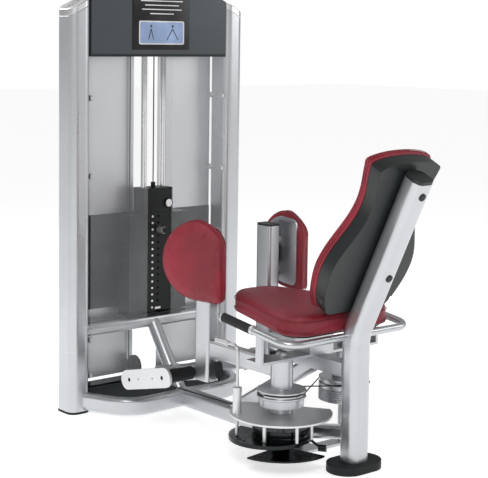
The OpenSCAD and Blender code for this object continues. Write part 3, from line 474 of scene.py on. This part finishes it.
def join(name: str, parts: Iterable[Object]) -> Object:
    """One object that holds the meshes of several, which are removed."""
    shape = bmesh.new()
    for part in parts:
        shape.from_mesh(part.data)
        bpy.data.objects.remove(part)
    mesh = bpy.data.meshes.new(name)
    shape.to_mesh(mesh)
    shape.free()
    made = link(name, mesh)
    shade(mesh, 35.0)
    return made


def soften(made: Object, width: float, segments: int = 2) -> Object:
    """Rounds the hard edges with a live bevel and weights the normals."""
    bevel = made.modifiers.new("edges", "BEVEL")
    bevel.width = width
    bevel.segments = segments
    bevel.limit_method = "ANGLE"
    bevel.angle_limit = math.radians(35.0)
    weighted = made.modifiers.new("normals", "WEIGHTED_NORMAL")
    weighted.keep_sharp = True
    return made


def frame_matrix(origin: Sequence[float], x: Sequence[float], y: Sequence[float]) -> np.ndarray:
    """A 3 by 4 matrix with an origin and two axes; the third axis is their cross product."""
    third = np.cross(x, y)
    return np.column_stack([x, y, third, origin]).astype(float)


def placed(points: Points, matrix: np.ndarray) -> Points:
    """Points carried from local to row coordinates."""
    return points @ matrix[:, :3].T + matrix[:, 3]


def facing(origin: Sequence[float], axis: Sequence[float]) -> np.ndarray:
    """A frame at origin whose third axis is the one given."""
    third = unit(np.asarray(axis, float))
    side = np.array([0.0, 0.0, 1.0]) if abs(third[2]) < 0.9 else np.array([1.0, 0.0, 0.0])
    x = unit(np.cross(side, third))
    return frame_matrix(origin, x, np.cross(third, x))


def circle(radius: float, count: int = 48) -> Points:
    """Points round a circle: angle to (r cos, r sin)."""
    angle = np.linspace(0.0, 2.0 * math.pi, count, endpoint=False)
    return radius * np.column_stack([np.cos(angle), np.sin(angle)])


def lathe(name: str, profile: Sequence[tuple[float, float]], matrix: np.ndarray, count: int = 48) -> Object:
    """Turns a profile of (radius, height) about the frame's third axis: a point goes to (r cos, r sin, h)."""
    shape = np.asarray(profile, float)
    round_ = circle(1.0, count)
    rings = np.empty((len(shape), count, 3))
    rings[..., :2] = shape[:, None, :1] * round_[None]
    rings[..., 2] = shape[:, 1:]
    return build(name, placed(rings, matrix))


def carried(name: str, path: Points, section: Points, side: Sequence[float], capped: bool = True) -> Object:
    """Carries a section along a path.

    Section x runs along the cross product of side and the path's direction, and section y along side.

    Args:
        name: the object's name.
        path: the points followed, by 3.
        section: the closed outline, by 2.
        side: the fixed direction of section y.
        capped: whether the ends are closed.

    Returns:
        The object.
    """
    ahead = unit(np.gradient(path, axis=0))
    up = unit(np.asarray(side, float) - ahead * (ahead @ np.asarray(side, float))[:, None])
    across = np.cross(up, ahead)
    rings = path[:, None] + section[None, :, :1] * across[:, None] + section[None, :, 1:] * up[:, None]
    return build(name, rings, capped)


def rounded_box(width: float, depth: float, radius: float, per_corner: int = 8) -> Points:
    """The outline of a rectangle with round corners, as arcs of equal steps."""
    angle = np.linspace(0.0, math.pi / 2.0, per_corner)
    arc = np.column_stack([np.cos(angle), np.sin(angle)]) * radius
    core = np.array([width / 2.0 - radius, depth / 2.0 - radius])
    turns = [
        np.array([[1, 0], [0, 1]]), np.array([[0, -1], [1, 0]]),
        np.array([[-1, 0], [0, -1]]), np.array([[0, 1], [-1, 0]]),
    ]
    corners = [np.array([1, 1]), np.array([-1, 1]), np.array([-1, -1]), np.array([1, -1])]
    return np.concatenate([arc @ turn.T + core * corner for turn, corner in zip(turns, corners)])


def resampled(outline: Points, count: int) -> Points:
    """The same closed outline with equal steps along its length."""
    closed = np.vstack([outline, outline[:1]])
    step = np.linalg.norm(np.diff(closed, axis=0), axis=1)
    travel = np.concatenate([[0.0], np.cumsum(step)])
    want = np.linspace(0.0, travel[-1], count, endpoint=False)
    return np.column_stack([np.interp(want, travel, closed[:, k]) for k in range(2)])


def outward(outline: Points) -> Points:
    """Unit normals of a closed counter-clockwise outline, slightly evened out."""
    along = np.roll(outline, -2, axis=0) - np.roll(outline, 2, axis=0)
    return unit(np.column_stack([along[:, 1], -along[:, 0]]))


def hull(points: Points) -> Points:
    """The convex outline round some points, counter-clockwise."""
    order = convex_hull_2d([Vector(p) for p in points])
    found = points[np.array(order)]
    area = np.sum(found[:, 0] * np.roll(found[:, 1], -1) - found[:, 1] * np.roll(found[:, 0], -1))
    return found if area > 0 else found[::-1]


# ------------------------------------------------------------------ dressing the solids


@dataclass
class Shop:
    """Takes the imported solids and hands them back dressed."""

    record: dict[str, Any]
    nodes: dict[str, Object]
    body_of: dict[str, str] = field(default_factory=dict)
    slot_of: dict[str, str] = field(default_factory=dict)

    def __post_init__(self) -> None:
        """Reads which body and which slot each node has."""
        bodies = self.record["behaviour"]["bodies"]
        self.body_of = {node: body for body, members in bodies.items() for node in members}
        self.slot_of = {part["node"]: part["material_slot"] for part in self.record["subparts"]}

    def skin(self, node: str, look: Look, bevel: float = 0.0008, smooth: float = 32.0) -> Object:
        """A welded, smooth-shaded copy of a solid that stands for it.

        Args:
            node: the solid's name.
            look: its finish.
            bevel: the width of its rounded edges, or 0 for none.
            smooth: edges sharper than this many degrees stay hard.

        Returns:
            The copy.
        """
        made = link(node + "_skin", self.nodes[node].data.copy())
        made.data.materials.clear()
        shape = bmesh.new()
        shape.from_mesh(made.data)
        bmesh.ops.remove_doubles(shape, verts=shape.verts, dist=2e-6)
        bmesh.ops.dissolve_limit(shape, angle_limit=math.radians(0.6), verts=shape.verts, edges=shape.edges)
        shape.to_mesh(made.data)
        shape.free()
        shade(made.data, smooth)
        if bevel > 0:
            soften(made, bevel)
        return self.stand_in(made, look, node)

    def stand_in(self, made: Object, look: Look, node: str, *others: str) -> Object:
        """Lets a piece replace one or more nodes and ride where the first one does."""
        self.dress(made, look, self.body_of[node], self.slot_of[node])
        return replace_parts(made, node, *others)

    def dress(self, made: Object, look: Look, body: str, slot: str) -> Object:
        """Gives a piece its finish and its body."""
        made.data.materials.clear()
        made.data.materials.append(look.value.material())
        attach(made, body)
        log.info("%s on %s", made.name, body)
        return made


def corners(node: str) -> tuple[np.ndarray, np.ndarray]:
    """A node's lowest and highest corners as arrays."""
    low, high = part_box(node)
    return np.array(low), np.array(high)


# ------------------------------------------------------------------ upholstery


@dataclass
class Pillow:
    """A padded shape between a back face and a crowned front face.

    Its outline is closed and counter-clockwise, and each outline point has a target on a middle line.
    A ring of the skin is the outline moved in by inset, then drawn towards the middle line by share.
    """

    outline: Points
    middle: Points
    thickness: float
    crown: float
    shoulder: float
    heel: float
    rings_on_face: int = 16

    def rings(self) -> Points:
        """Local rings from the middle of the back face to the middle of the front face.

        The edge of each face is a quarter ellipse: inset = r (1 - sin a) and height = r (1 - cos a).
        The front rises by crown times (1 - (1 - share)^2).
        """
        turn = np.linspace(0.0, math.pi / 2.0, 7)
        face = np.linspace(1.0, 0.0, self.rings_on_face, endpoint=False)
        heel_in, heel_up = self.heel * (1 - np.sin(turn)), self.heel * (1 - np.cos(turn))
        top_in = self.shoulder * (1 - np.cos(turn))
        top_up = self.thickness - self.shoulder * (1 - np.sin(turn))
        back, front_in = np.full(len(face), self.heel), np.full(len(face), self.shoulder)
        inset = np.concatenate([back, heel_in, top_in, front_in])
        share = np.concatenate([face, np.zeros(len(turn) * 2), face[::-1]])
        height = np.concatenate([np.zeros(len(face)), heel_up, top_up, np.full(len(face), self.thickness)])
        front = np.concatenate([np.zeros(len(face) + len(turn) * 2), np.ones(len(face))])
        height = height + front * self.crown * (1.0 - (1.0 - share) ** 2)
        edge = self.outline[None] - outward(self.outline)[None] * inset[:, None, None]
        flat = edge * (1.0 - share[:, None, None]) + self.middle[None] * share[:, None, None]
        return np.concatenate([flat, np.broadcast_to(height[:, None, None], flat.shape[:2] + (1,))], axis=2)

    def make(self, name: str, matrix: np.ndarray) -> Object:
        """The closed mesh, placed by a frame."""
        return build(name, placed(self.rings(), matrix), smooth=60.0)


@dataclass
class Upholsterer:
    """Puffs up padded shapes with cloth simulation and sews their seams."""

    voxel: float = 0.005
    pressure: float = 4.0
    frames: int = 20

    def puff(self, made: Object, cap: float, still: Callable[[Points], np.ndarray]) -> None:
        """Remeshes a padded shape, blows it up and keeps the result.

        Args:
            made: the shape, at the origin.
            cap: the furthest that a point may move, in metres.
            still: tells from the points which of them are held, 1 for held and 0 for free.
        """
        self._apply(made, "REMESH", mode="VOXEL", voxel_size=self.voxel)
        self._apply(made, "SMOOTH", factor=0.5, iterations=8)
        self._simulate(made, cap, still)
        shade(made.data, 60.0)

    def _apply(self, made: Object, kind: str, **settings: Any) -> None:
        """Adds a modifier, keeps its result as the mesh and takes the modifier away."""
        modifier = made.modifiers.new("step", kind)
        for key, value in settings.items():
            setattr(modifier, key, value)
        graph = bpy.context.evaluated_depsgraph_get()
        mesh = bpy.data.meshes.new_from_object(made.evaluated_get(graph))
        made.modifiers.clear()
        made.data = mesh

    def _simulate(self, made: Object, cap: float, still: Callable[[Points], np.ndarray]) -> None:
        """Runs Cloth with pressure and no gravity, then limits each point's travel to cap."""
        rest = coordinates(made.data)
        held = made.vertex_groups.new(name="held")
        weight = still(rest)
        held.add(np.flatnonzero(weight > 0.5).tolist(), 1.0, "REPLACE")
        cloth = made.modifiers.new("puff", "CLOTH")
        cloth.settings.use_pressure = True
        cloth.settings.uniform_pressure_force = self.pressure
        cloth.settings.effector_weights.gravity = 0.0
        cloth.settings.vertex_group_mass = "held"
        cloth.settings.quality = 5
        cloth.point_cache.frame_start = 1
        cloth.point_cache.frame_end = self.frames
        scene = bpy.context.scene
        for step in range(1, self.frames + 1):
            scene.frame_set(step)
        graph = bpy.context.evaluated_depsgraph_get()
        moved = coordinates(made.evaluated_get(graph).data)
        travel = moved - rest
        length = np.linalg.norm(travel, axis=1, keepdims=True)
        travel *= np.minimum(1.0, cap / np.maximum(length, 1e-9))
        made.modifiers.clear()
        made.vertex_groups.clear()
        made.data.vertices.foreach_set("co", (rest + travel).ravel())
        made.data.update()
        scene.frame_set(1)

    def sew(self, made: Object, seam: Points, depth: float, width: float) -> None:
        """Draws a seam into the skin: points within width of it sink by depth exp(-(d / width)^2)."""
        points = coordinates(made.data)
        normals = np.empty(len(points) * 3)
        made.data.vertices.foreach_get("normal", normals)
        normals = normals.reshape(-1, 3)
        near = np.full(len(points), 1.0)
        for part in np.array_split(np.arange(len(points)), 40):
            gap = np.linalg.norm(points[part, None] - seam[None], axis=2)
            near[part] = gap.min(axis=1)
        sink = depth * np.exp(-((near / width) ** 2))
        made.data.vertices.foreach_set("co", (points - normals * sink[:, None]).ravel())
        made.data.update()


def coordinates(mesh: bpy.types.Mesh) -> Points:
    """A mesh's points as an array."""
    flat = np.empty(len(mesh.vertices) * 3)
    mesh.vertices.foreach_get("co", flat)
    return flat.reshape(-1, 3)


def piping(name: str, seam: Points, radius: float) -> Object:
    """A round cord laid along a closed seam: each ring is a circle square to the seam."""
    ahead = unit(np.roll(seam, -1, axis=0) - np.roll(seam, 1, axis=0))
    centre = seam.mean(axis=0)
    out = seam - centre
    out = unit(out - ahead * np.sum(out * ahead, axis=1, keepdims=True))
    third = np.cross(ahead, out)
    round_ = circle(radius, 10)
    rings = seam[:, None] + round_[None, :, :1] * out[:, None] + round_[None, :, 1:] * third[:, None]
    rings = np.concatenate([rings, rings[:1]])
    return build(name, rings, capped=False, smooth=80.0)


# ------------------------------------------------------------------ placing things on the machine

X, Y, Z = np.eye(3)
LEAN = math.radians(25.7)
UP_BACK = np.array([0.0, -math.sin(LEAN), math.cos(LEAN)])
OFF_BACK = np.array([0.0, math.cos(LEAN), math.sin(LEAN)])


class Side(Enum):
    """The machine's two sides, seen from the seat."""

    LEFT = -1
    RIGHT = 1

    @property
    def word(self) -> str:
        """The name that starts this side's nodes."""
        return self.name.lower()


def flat(node: Object, matrix: np.ndarray) -> tuple[Points, Points]:
    """A node's points in a frame: the two flat coordinates, and the height."""
    local = (coordinates(node.data) - matrix[:, 3]) @ matrix[:, :3]
    return local[:, :2], local[:, 2]


def waisted(points: Points) -> Points:
    """The outline of a shape that is symmetrical about its second axis, from the width at each height."""
    levels = np.unique(np.round(points[:, 1], 5))
    half = np.array([np.abs(points[np.abs(points[:, 1] - level) < 2e-5, 0]).max() for level in levels])
    right = np.column_stack([half, levels])
    left = right[::-1] * np.array([-1.0, 1.0])
    return np.vstack([right, left[left[:, 0] < -1e-4]])


def tapered(points: Points, rear: int, share: float) -> Points:
    """The convex outline, with its top falling towards the rear: height times 1 - share s^2, s from 0 to 1.

    Args:
        points: flat points of the solid.
        rear: 1 where the rear is towards the first axis, and -1 where it is the other way.
        share: the part of the height that the rear edge loses.

    Returns:
        The outline, counter-clockwise.
    """
    outline = resampled(hull(points), 160)
    bottom = outline[:, 1].min()
    reach = np.clip(rear * outline[:, 0] / np.abs(outline[:, 0]).max(), 0.0, 1.0)
    fallen = outline.copy()
    fallen[:, 1] = bottom + (outline[:, 1] - bottom) * (1.0 - share * reach**2)
    return hull(fallen)


def disc(
    name: str, origin: Sequence[float], axis: Sequence[float],
    radius: float, height: float, edge: float = 0.0006,
) -> Object:
    """A round disc or bolt head whose outer rim is chamfered: (r - e, h) and (r, h - e)."""
    profile = [(0.0, 0.0), (radius, 0.0), (radius, height - edge), (radius - edge, height), (0.0, height)]
    return lathe(name, profile, facing(origin, axis))


def loop(name: str, origin: Sequence[float], axis: Sequence[float], radius: float, wire: float) -> Object:
    """A round ring: (R + r cos a, r sin a) turned about the axis."""
    round_ = circle(wire, 14)
    profile = np.vstack([round_, round_[:1]]) + np.array([radius, 0.0])
    shape = profile[:, None, :]
    turn = circle(1.0, 72)
    rings = np.empty((len(profile), 72, 3))
    rings[..., :2] = shape[..., :1] * turn[None]
    rings[..., 2] = shape[..., 1]
    return build(name, placed(rings, facing(origin, axis)), capped=False, smooth=60.0)


def sheet(
    name: str, centre: Sequence[float], width: float, height: float, radius: float, thick: float
) -> Object:
    """A thin upright plate that faces the seat, with round corners."""
    outline = rounded_box(width, height, radius)
    layers = np.array([0.0, thick])
    flat_rings = np.broadcast_to(outline, (2, *outline.shape))
    heights = np.broadcast_to(layers[:, None, None], (2, len(outline), 1))
    rings = np.concatenate([flat_rings, heights], axis=2)
    return build(name, placed(rings, frame_matrix(centre, X, Z)))


# ------------------------------------------------------------------ the machine's parts


@dataclass
class Assembly:
    """One part of the machine."""

    shop: Shop
    skins: tuple[tuple[str, Look, float], ...] = ()

    def run(self) -> None:
        """Dresses the solids and adds the fittings."""
        log.info("building %s", type(self).__name__)
        for node, look, bevel in self.skins:
            self.shop.skin(node, look, bevel)
        self.fit()

    def fit(self) -> None:
        """Adds the fittings."""


@dataclass
class Tower(Assembly):
    """The shrouded tower: uprights, caps, header, placard and panels."""

    skins: tuple[tuple[str, Look, float], ...] = (
        ("tower_uprights", Look.SILVER, 0.003),
        ("upright_caps", Look.CAP, 0.003),
        ("rubber_feet", Look.RUBBER, 0.002),
        ("header_housing", Look.SLATE, 0.0008),
        ("placard", Look.GLOSS, 0.0008),
        ("front_panels", Look.CLEAR, 0.0),
        ("rear_panels", Look.REAR, 0.0008),
        ("stack_guard", Look.GUARD, 0.0005),
        ("panel_fasteners", Look.STEEL, 0.0008),
        ("cross_tube", Look.SILVER, 0.001),
        ("top_crossmember", Look.SILVER, 0.0008),
        ("base_tray", Look.GUARD, 0.0008),
        ("tower_brace", Look.SILVER, 0.0008),
        ("top_pulley", Look.CABLE, 0.0006),
        ("base_pulley", Look.CABLE, 0.0006),
    )
    ink: float = 0.0003

    def fit(self) -> None:
        """Prints the placard and trims the header's lower edge."""
        low, high = corners("placard")
        front, middle = low[1], (low[0] + high[0]) / 2.0
        span, tall = high[0] - low[0], high[2] - low[2]
        block = low[2] + 0.29 * tall
        self._print("placard_frame", Look.WHITE, middle, front, block, span * 0.80, tall * 0.40, 1)
        self._print("placard_picture", Look.PALE_BLUE, middle, front, block, span * 0.76, tall * 0.36, 2)
        for row in range(5):
            width = span * (0.66, 0.74, 0.60, 0.70, 0.42)[row]
            up = low[2] + tall * (0.90 - 0.072 * row)
            self._print(f"placard_line_{row}", Look.WHITE, middle, front, up, width, tall * 0.016, 1)
        for column, lean in enumerate((-1.0, 1.0)):
            x = middle + lean * span * 0.19
            self._figure(f"placard_figure_{column}", x, front, block, tall * 0.13, 0.4 + 0.5 * column)
        head_low, _ = corners("header_housing")
        trim_at = (0.0, head_low[1] - self.ink, head_low[2] + 0.006)
        trim = sheet("header_trim", trim_at, 0.70, 0.010, 0.002, -0.001)
        self.shop.dress(trim, Look.GUARD, "root", "header_paint")

    def _print(
        self, name: str, look: Look, x: float, front: float, z: float,
        width: float, height: float, level: int,
    ) -> None:
        """Lays one flat patch of ink on the placard."""
        radius = min(width, height) * 0.08
        made = sheet(name, (x, front - self.ink * level, z), width, height, radius, self.ink)
        self.shop.dress(made, look, "root", "placard_print")

    def _figure(self, name: str, x: float, front: float, z: float, size: float, spread: float) -> None:
        """Draws a plain pictogram of two spread limbs below a round head."""
        y = front - self.ink * 3
        parts = [disc(name + "_head", (x, y, z + size * 0.85), -Y, size * 0.18, self.ink)]
        for side in (-1.0, 1.0):
            foot = np.array([x + side * spread * size, y, z - size * 0.9])
            path = np.linspace(np.array([x, y, z + size * 0.5]), foot, 6)
            stroke = rounded_box(size * 0.16, self.ink, self.ink * 0.4)
            parts.append(carried(f"{name}_{side}", path, stroke, -Y))
        self.shop.dress(join(name, parts), Look.SLATE, "root", "placard_print")


@dataclass
class WeightStack(Assembly):
    """The plates, rods and selector."""

    skins: tuple[tuple[str, Look, float], ...] = (
        ("guide_rods", Look.CHROME, 0.0),
        ("stack_rest", Look.IRON, 0.0008),
        ("resting_plates", Look.IRON, 0.0012),
        ("lifted_plates", Look.IRON, 0.0012),
        ("stack_head", Look.IRON, 0.0015),
        ("selector_rod", Look.STEEL, 0.0004),
        ("selector_pin", Look.STEEL, 0.0008),
    )
    pitch: float = 0.028
    count: int = 15

    def fit(self) -> None:
        """Adds the dots, the dial and the knob."""
        low, _ = corners("resting_plates")
        front = low[1]
        lifted = self.count - 3
        for number in range(self.count):
            z = low[2] + (number + 0.5) * self.pitch
            body = "stack" if number >= lifted else "root"
            dot = disc(f"plate_dot_{number}", (-0.030, front, z), -Y, 0.0048, 0.0004, 0.0001)
            self.shop.dress(dot, Look.WHITE, body, "stack_black")
        label = sheet("plate_label", (0.0, front - 0.0002, low[2] + 0.010), 0.030, 0.009, 0.001, 0.0002)
        self.shop.dress(label, Look.WHITE, "root", "stack_black")
        head_low, _ = corners("stack_head")
        dial = (0.052, head_low[1], 0.845)
        self.shop.dress(disc("dial_face", dial, -Y, 0.017, 0.0016), Look.WHITE, "stack", "stack_black")
        rim = loop("dial_rim", (0.052, head_low[1] - 0.001, 0.845), -Y, 0.0185, 0.0022)
        self.shop.dress(rim, Look.CABLE, "stack", "stack_black")
        pin_low, pin_high = corners("selector_pin")
        middle = (pin_low + pin_high) / 2.0
        knob = disc("pin_knob", (middle[0], pin_low[1] - 0.002, middle[2]), Y, 0.0125, 0.016, 0.003)
        self.shop.dress(knob, Look.CABLE, "selector", "cable_black")


@dataclass
class Base(Assembly):
    """The bowed base, the spine and the mast."""

    skins: tuple[tuple[str, Look, float], ...] = (
        ("base_bow_left", Look.SILVER, 0.0005),
        ("base_bow_right", Look.SILVER, 0.0005),
        ("spine", Look.SILVER, 0.0015),
        ("rear_upright", Look.SILVER, 0.0008),
        ("upright_end_cap", Look.SHELL, 0.0015),
        ("seat_supports", Look.SILVER, 0.001),
        ("frame_bolts", Look.CABLE, 0.001),
        ("pivot_bridge", Look.SILVER, 0.001),
        ("pivot_shafts", Look.STEEL, 0.0008),
        ("pivot_base", Look.SILVER, 0.001),
        ("handle_frame", Look.SILVER, 0.0008),
        ("handle_grips", Look.GRIP, 0.0015),
        ("main_cable", Look.CABLE, 0.0),
        ("sync_cables", Look.CABLE, 0.0),
        ("lift_cable", Look.CABLE, 0.0),
    )

    def fit(self) -> None:
        """Adds bright collars at the grips' ends and the nuts on the pivot shafts."""
        points = coordinates(self.shop.nodes["handle_grips"].data)
        for side in Side:
            own = points[points[:, 0] * side.value > 0]
            rear = own[own[:, 1] < own[:, 1].min() + 0.004].mean(axis=0)
            front = own[own[:, 1] > own[:, 1].max() - 0.004].mean(axis=0)
            along = unit(front - rear)
            radius = (own[:, 0].max() - own[:, 0].min()) / 2.0
            for end, place, way in (("rear", rear, -along), ("front", front, along)):
                name = f"{side.word}_{end}_collar"
                collar = disc(name, place - way * 0.004, way, radius * 1.06, 0.010, 0.0015)
                self.shop.dress(collar, Look.ALLOY, "root", "machined_alloy")
        _, top = corners("pivot_shafts")
        for side in Side:
            x = side.value * 0.156
            profile = [(0.0, 0.0), (0.016, 0.0), (0.016, 0.003), (0.012, 0.006), (0.0, 0.0065)]
            nut = lathe(f"{side.word}_shaft_cap", profile, facing((x, -0.267, top[2]), Z))
            self.shop.dress(nut, Look.STEEL, "root", "plated_steel")


@dataclass
class Seat(Assembly):
    """The seat, backrest and thigh pads."""

    skins: tuple[tuple[str, Look, float], ...] = (
        ("seat_pan", Look.SHELL, 0.001),
        ("back_shell", Look.SHELL, 0.006),
        ("left_pad_plate", Look.SILVER, 0.001),
        ("right_pad_plate", Look.SILVER, 0.001),
    )
    upholsterer: Upholsterer = field(default_factory=Upholsterer)

    def fit(self) -> None:
        """Replaces each padded solid with a puffed and sewn one."""
        seat = frame_matrix((0.0, 0.0, 0.0), X, Y)
        self._cushion("seat_cushion", seat, hull, 0.024, 0.010, 0.008, 0.0035)
        back = frame_matrix((0.0, -0.491, 0.499), -X, UP_BACK)
        self._cushion("back_cushion", back, waisted, 0.016, 0.008, 0.005, 0.003)
        for side in Side:
            turn = math.radians(0.0 if side is Side.RIGHT else 210.0)
            along = np.array([-math.sin(turn), math.cos(turn), 0.0])
            frame = frame_matrix((side.value * 0.2045, 0.173, 0.701), along, Z)
            trace = functools.partial(tapered, rear=-side.value, share=0.2)
            self._cushion(side.word + "_pad", frame, trace, 0.017, 0.008, 0.006, 0.003)
            self._hinge(side)

    def _cushion(
        self, node: str, matrix: np.ndarray, trace: Callable[[Points], Points],
        shoulder: float, heel: float, crown: float, cap: float,
    ) -> None:
        """Builds one cushion inside its solid's outline.

        Args:
            node: the solid that it stands for.
            matrix: a frame whose third axis points out of the contact face.
            trace: finds the closed outline in flat points.
            shoulder: the radius of the front edge.
            heel: the radius of the back edge.
            crown: how far the front face domes.
            cap: the furthest that puffing moves a point.
        """
        points, height = flat(self.shop.nodes[node], matrix)
        outline = resampled(trace(points), 220)
        middle = outline.mean(axis=0) + (outline - outline.mean(axis=0)) * 0.04
        base, thickness = height.min(), np.ptp(height) - crown
        seat = matrix.copy()
        seat[:, 3] = matrix[:, 3] + matrix[:, 2] * base
        pillow = Pillow(outline, middle, thickness, crown, shoulder, heel)
        made = pillow.make(node + "_upholstery", seat)
        normal, floor = matrix[:, 2], seat[:, 3]
        self.upholsterer.puff(made, cap, lambda at: ((at - floor) @ normal) < 0.006)
        shape = outline - outward(outline) * 0.0003
        for name, level in (("front_seam", thickness - shoulder * 1.02), ("rear_seam", heel * 1.4)):
            ring = np.column_stack([shape, np.full(len(shape), level)])
            seam = placed(ring, seat)
            self.upholsterer.sew(made, seam, 0.0014, 0.0035)
            welt = piping(f"{node}_{name}", seam, 0.0014)
            self.shop.dress(welt, Look.VINYL, self.shop.body_of[node], self.shop.slot_of[node])
        made.modifiers.new("smooth", "SUBSURF").render_levels = 1
        made.modifiers["smooth"].levels = 1
        self.shop.stand_in(made, Look.VINYL, node)

    def _hinge(self, side: Side) -> None:
        """Adds the black rod between the pad's lugs."""
        x, y = side.value * 0.2045, 0.173
        body = self.shop.body_of[side.word + "_pad"]
        rod = disc(side.word + "_hinge_sleeve", (x, y, 0.633), Z, 0.0082, 0.094, 0.0008)
        self.shop.dress(rod, Look.CABLE, body, "plated_steel")


@dataclass
class Arms(Assembly):
    """The two swinging arms, and the range mechanism under the left one."""

    skins: tuple[tuple[str, Look, float], ...] = (
        ("left_hub", Look.SILVER, 0.001),
        ("right_hub", Look.SILVER, 0.001),
        ("left_arm_tubes", Look.SILVER, 0.001),
        ("right_arm_tubes", Look.SILVER, 0.001),
        ("left_post", Look.SILVER, 0.001),
        ("right_post", Look.SILVER, 0.001),
        ("left_post_caps", Look.SHELL, 0.001),
        ("right_post_caps", Look.SHELL, 0.001),
        ("left_foot_plate", Look.ALLOY, 0.0008),
        ("right_foot_plate", Look.ALLOY, 0.0008),
        ("left_rollers", Look.FOAM, 0.004),
        ("right_rollers", Look.FOAM, 0.004),
        ("carrier_plate", Look.ALLOY, 0.001),
        ("pull_pin", Look.STEEL, 0.001),
        ("cam", Look.DARK_STEEL, 0.001),
    )

    def fit(self) -> None:
        """Adds bright washers at the rollers' ends."""
        for side in Side:
            low, high = corners(side.word + "_rollers")
            middle = (low + high) / 2.0
            radius = (high[1] - low[1]) / 2.0
            for end, x in (("low", low[0]), ("high", high[0])):
                way = -X if end == "low" else X
                name = f"{side.word}_roller_{end}_washer"
                made = disc(name, (x, middle[1], middle[2]), way, radius * 0.30, 0.0015)
                self.shop.dress(made, Look.STEEL, f"{side.word}_arm", "plated_steel")


# ------------------------------------------------------------------ studio


@dataclass(frozen=True)
class Lens:
    """The camera's place and aim, with angles in radians."""

    place: tuple[float, float, float] = (-3.38307, -3.83025, 1.54816)
    yaw: float = 0.6850
    pitch: float = 0.0896
    roll: float = 0.0119
    length: float = 98.5
    shift: tuple[float, float] = (0.0543, -0.165)


@dataclass
class Studio:
    """The camera, the floor and the lights."""

    lens: Lens = field(default_factory=Lens)

    def build(self) -> None:
        """Sets up everything round the machine."""
        self._camera()
        self._floor()
        self._world(0.36)
        self._light("key", (-3.2, -3.2, 4.2), (0.0, 0.0, 0.8), 2.2, 95.0)
        self._light("fill", (3.6, -2.4, 2.4), (0.0, 0.1, 0.8), 1.8, 28.0)
        self._light("rim", (-1.0, 3.6, 3.6), (0.0, 0.4, 1.0), 2.0, 60.0)
        bpy.context.scene.view_settings.view_transform = "Standard"

    def _camera(self) -> None:
        """Aims the camera: forward is (sin yaw cos pitch, cos yaw cos pitch, -sin pitch), then roll."""
        lens = self.lens
        level = math.cos(lens.pitch)
        ahead = np.array([math.sin(lens.yaw) * level, math.cos(lens.yaw) * level, -math.sin(lens.pitch)])
        right = np.array([math.cos(lens.yaw), -math.sin(lens.yaw), 0.0])
        up = np.cross(right, ahead)
        turned = right * math.cos(lens.roll) + up * math.sin(lens.roll)
        raised = np.cross(turned, ahead)
        data = bpy.data.cameras.new("camera")
        data.lens = lens.length
        data.sensor_width = 36.0
        data.shift_x, data.shift_y = lens.shift
        data.clip_end = 60.0
        made = bpy.data.objects.new("camera", data)
        bpy.context.scene.collection.objects.link(made)
        matrix = Matrix(np.column_stack([turned, raised, -ahead]).tolist()).to_4x4()
        matrix.translation = Vector(lens.place)
        made.matrix_world = matrix
        bpy.context.scene.camera = made

    def _floor(self) -> None:
        """Lays a wide pale floor."""
        corners_ = np.array([[-1, -1, 0], [1, -1, 0], [1, 1, 0], [-1, 1, 0]]) * 30.0
        mesh = bpy.data.meshes.new("floor")
        mesh.from_pydata(corners_.tolist(), [], [(0, 1, 2, 3)])
        floor = link("floor", mesh)
        graph = Graph("floor_white")
        graph.set(
            Base_Color=(0.92, 0.92, 0.92),
            Roughness=graph.noise(2.0, 2.0).ramp(0.2, 0.8, 0.75, 0.85),
            Emission_Color=(1.0, 1.0, 1.0),
            Emission_Strength=0.62,
        )
        mesh.materials.append(graph.material)

    def _world(self, strength: float) -> None:
        """Gives a white surround to the camera, and one of this strength to the surfaces."""
        world = bpy.data.worlds.new("surround")
        world.use_nodes = True
        tree = world.node_tree
        background = tree.nodes["Background"]
        background.inputs["Color"].default_value = (1.0, 1.0, 1.0, 1.0)
        path = tree.nodes.new("ShaderNodeLightPath")
        seen = tree.nodes.new("ShaderNodeMapRange")
        seen.inputs["To Min"].default_value = strength
        seen.inputs["To Max"].default_value = 1.0
        tree.links.new(path.outputs["Is Camera Ray"], seen.inputs["Value"])
        tree.links.new(seen.outputs[0], background.inputs["Strength"])
        bpy.context.scene.world = world

    def _light(
        self, name: str, place: Sequence[float], aim: Sequence[float], size: float, power: float
    ) -> None:
        """Adds a square soft light at place, turned to aim."""
        data = bpy.data.lights.new(name, "AREA")
        data.size = size
        data.energy = power
        made = bpy.data.objects.new(name, data)
        bpy.context.scene.collection.objects.link(made)
        made.location = place
        made.rotation_euler = (Vector(aim) - Vector(place)).to_track_quat("-Z", "Y").to_euler()


def main() -> None:
    """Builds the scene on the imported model."""
    logging.basicConfig(level=logging.INFO, format="%(message)s")
    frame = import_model()
    shop = Shop(frame["record"], frame["nodes"])
    for part in (Tower(shop), WeightStack(shop), Base(shop), Seat(shop), Arms(shop)):
        part.run()
    Studio().build()


if __name__ == "__main__":
    main()
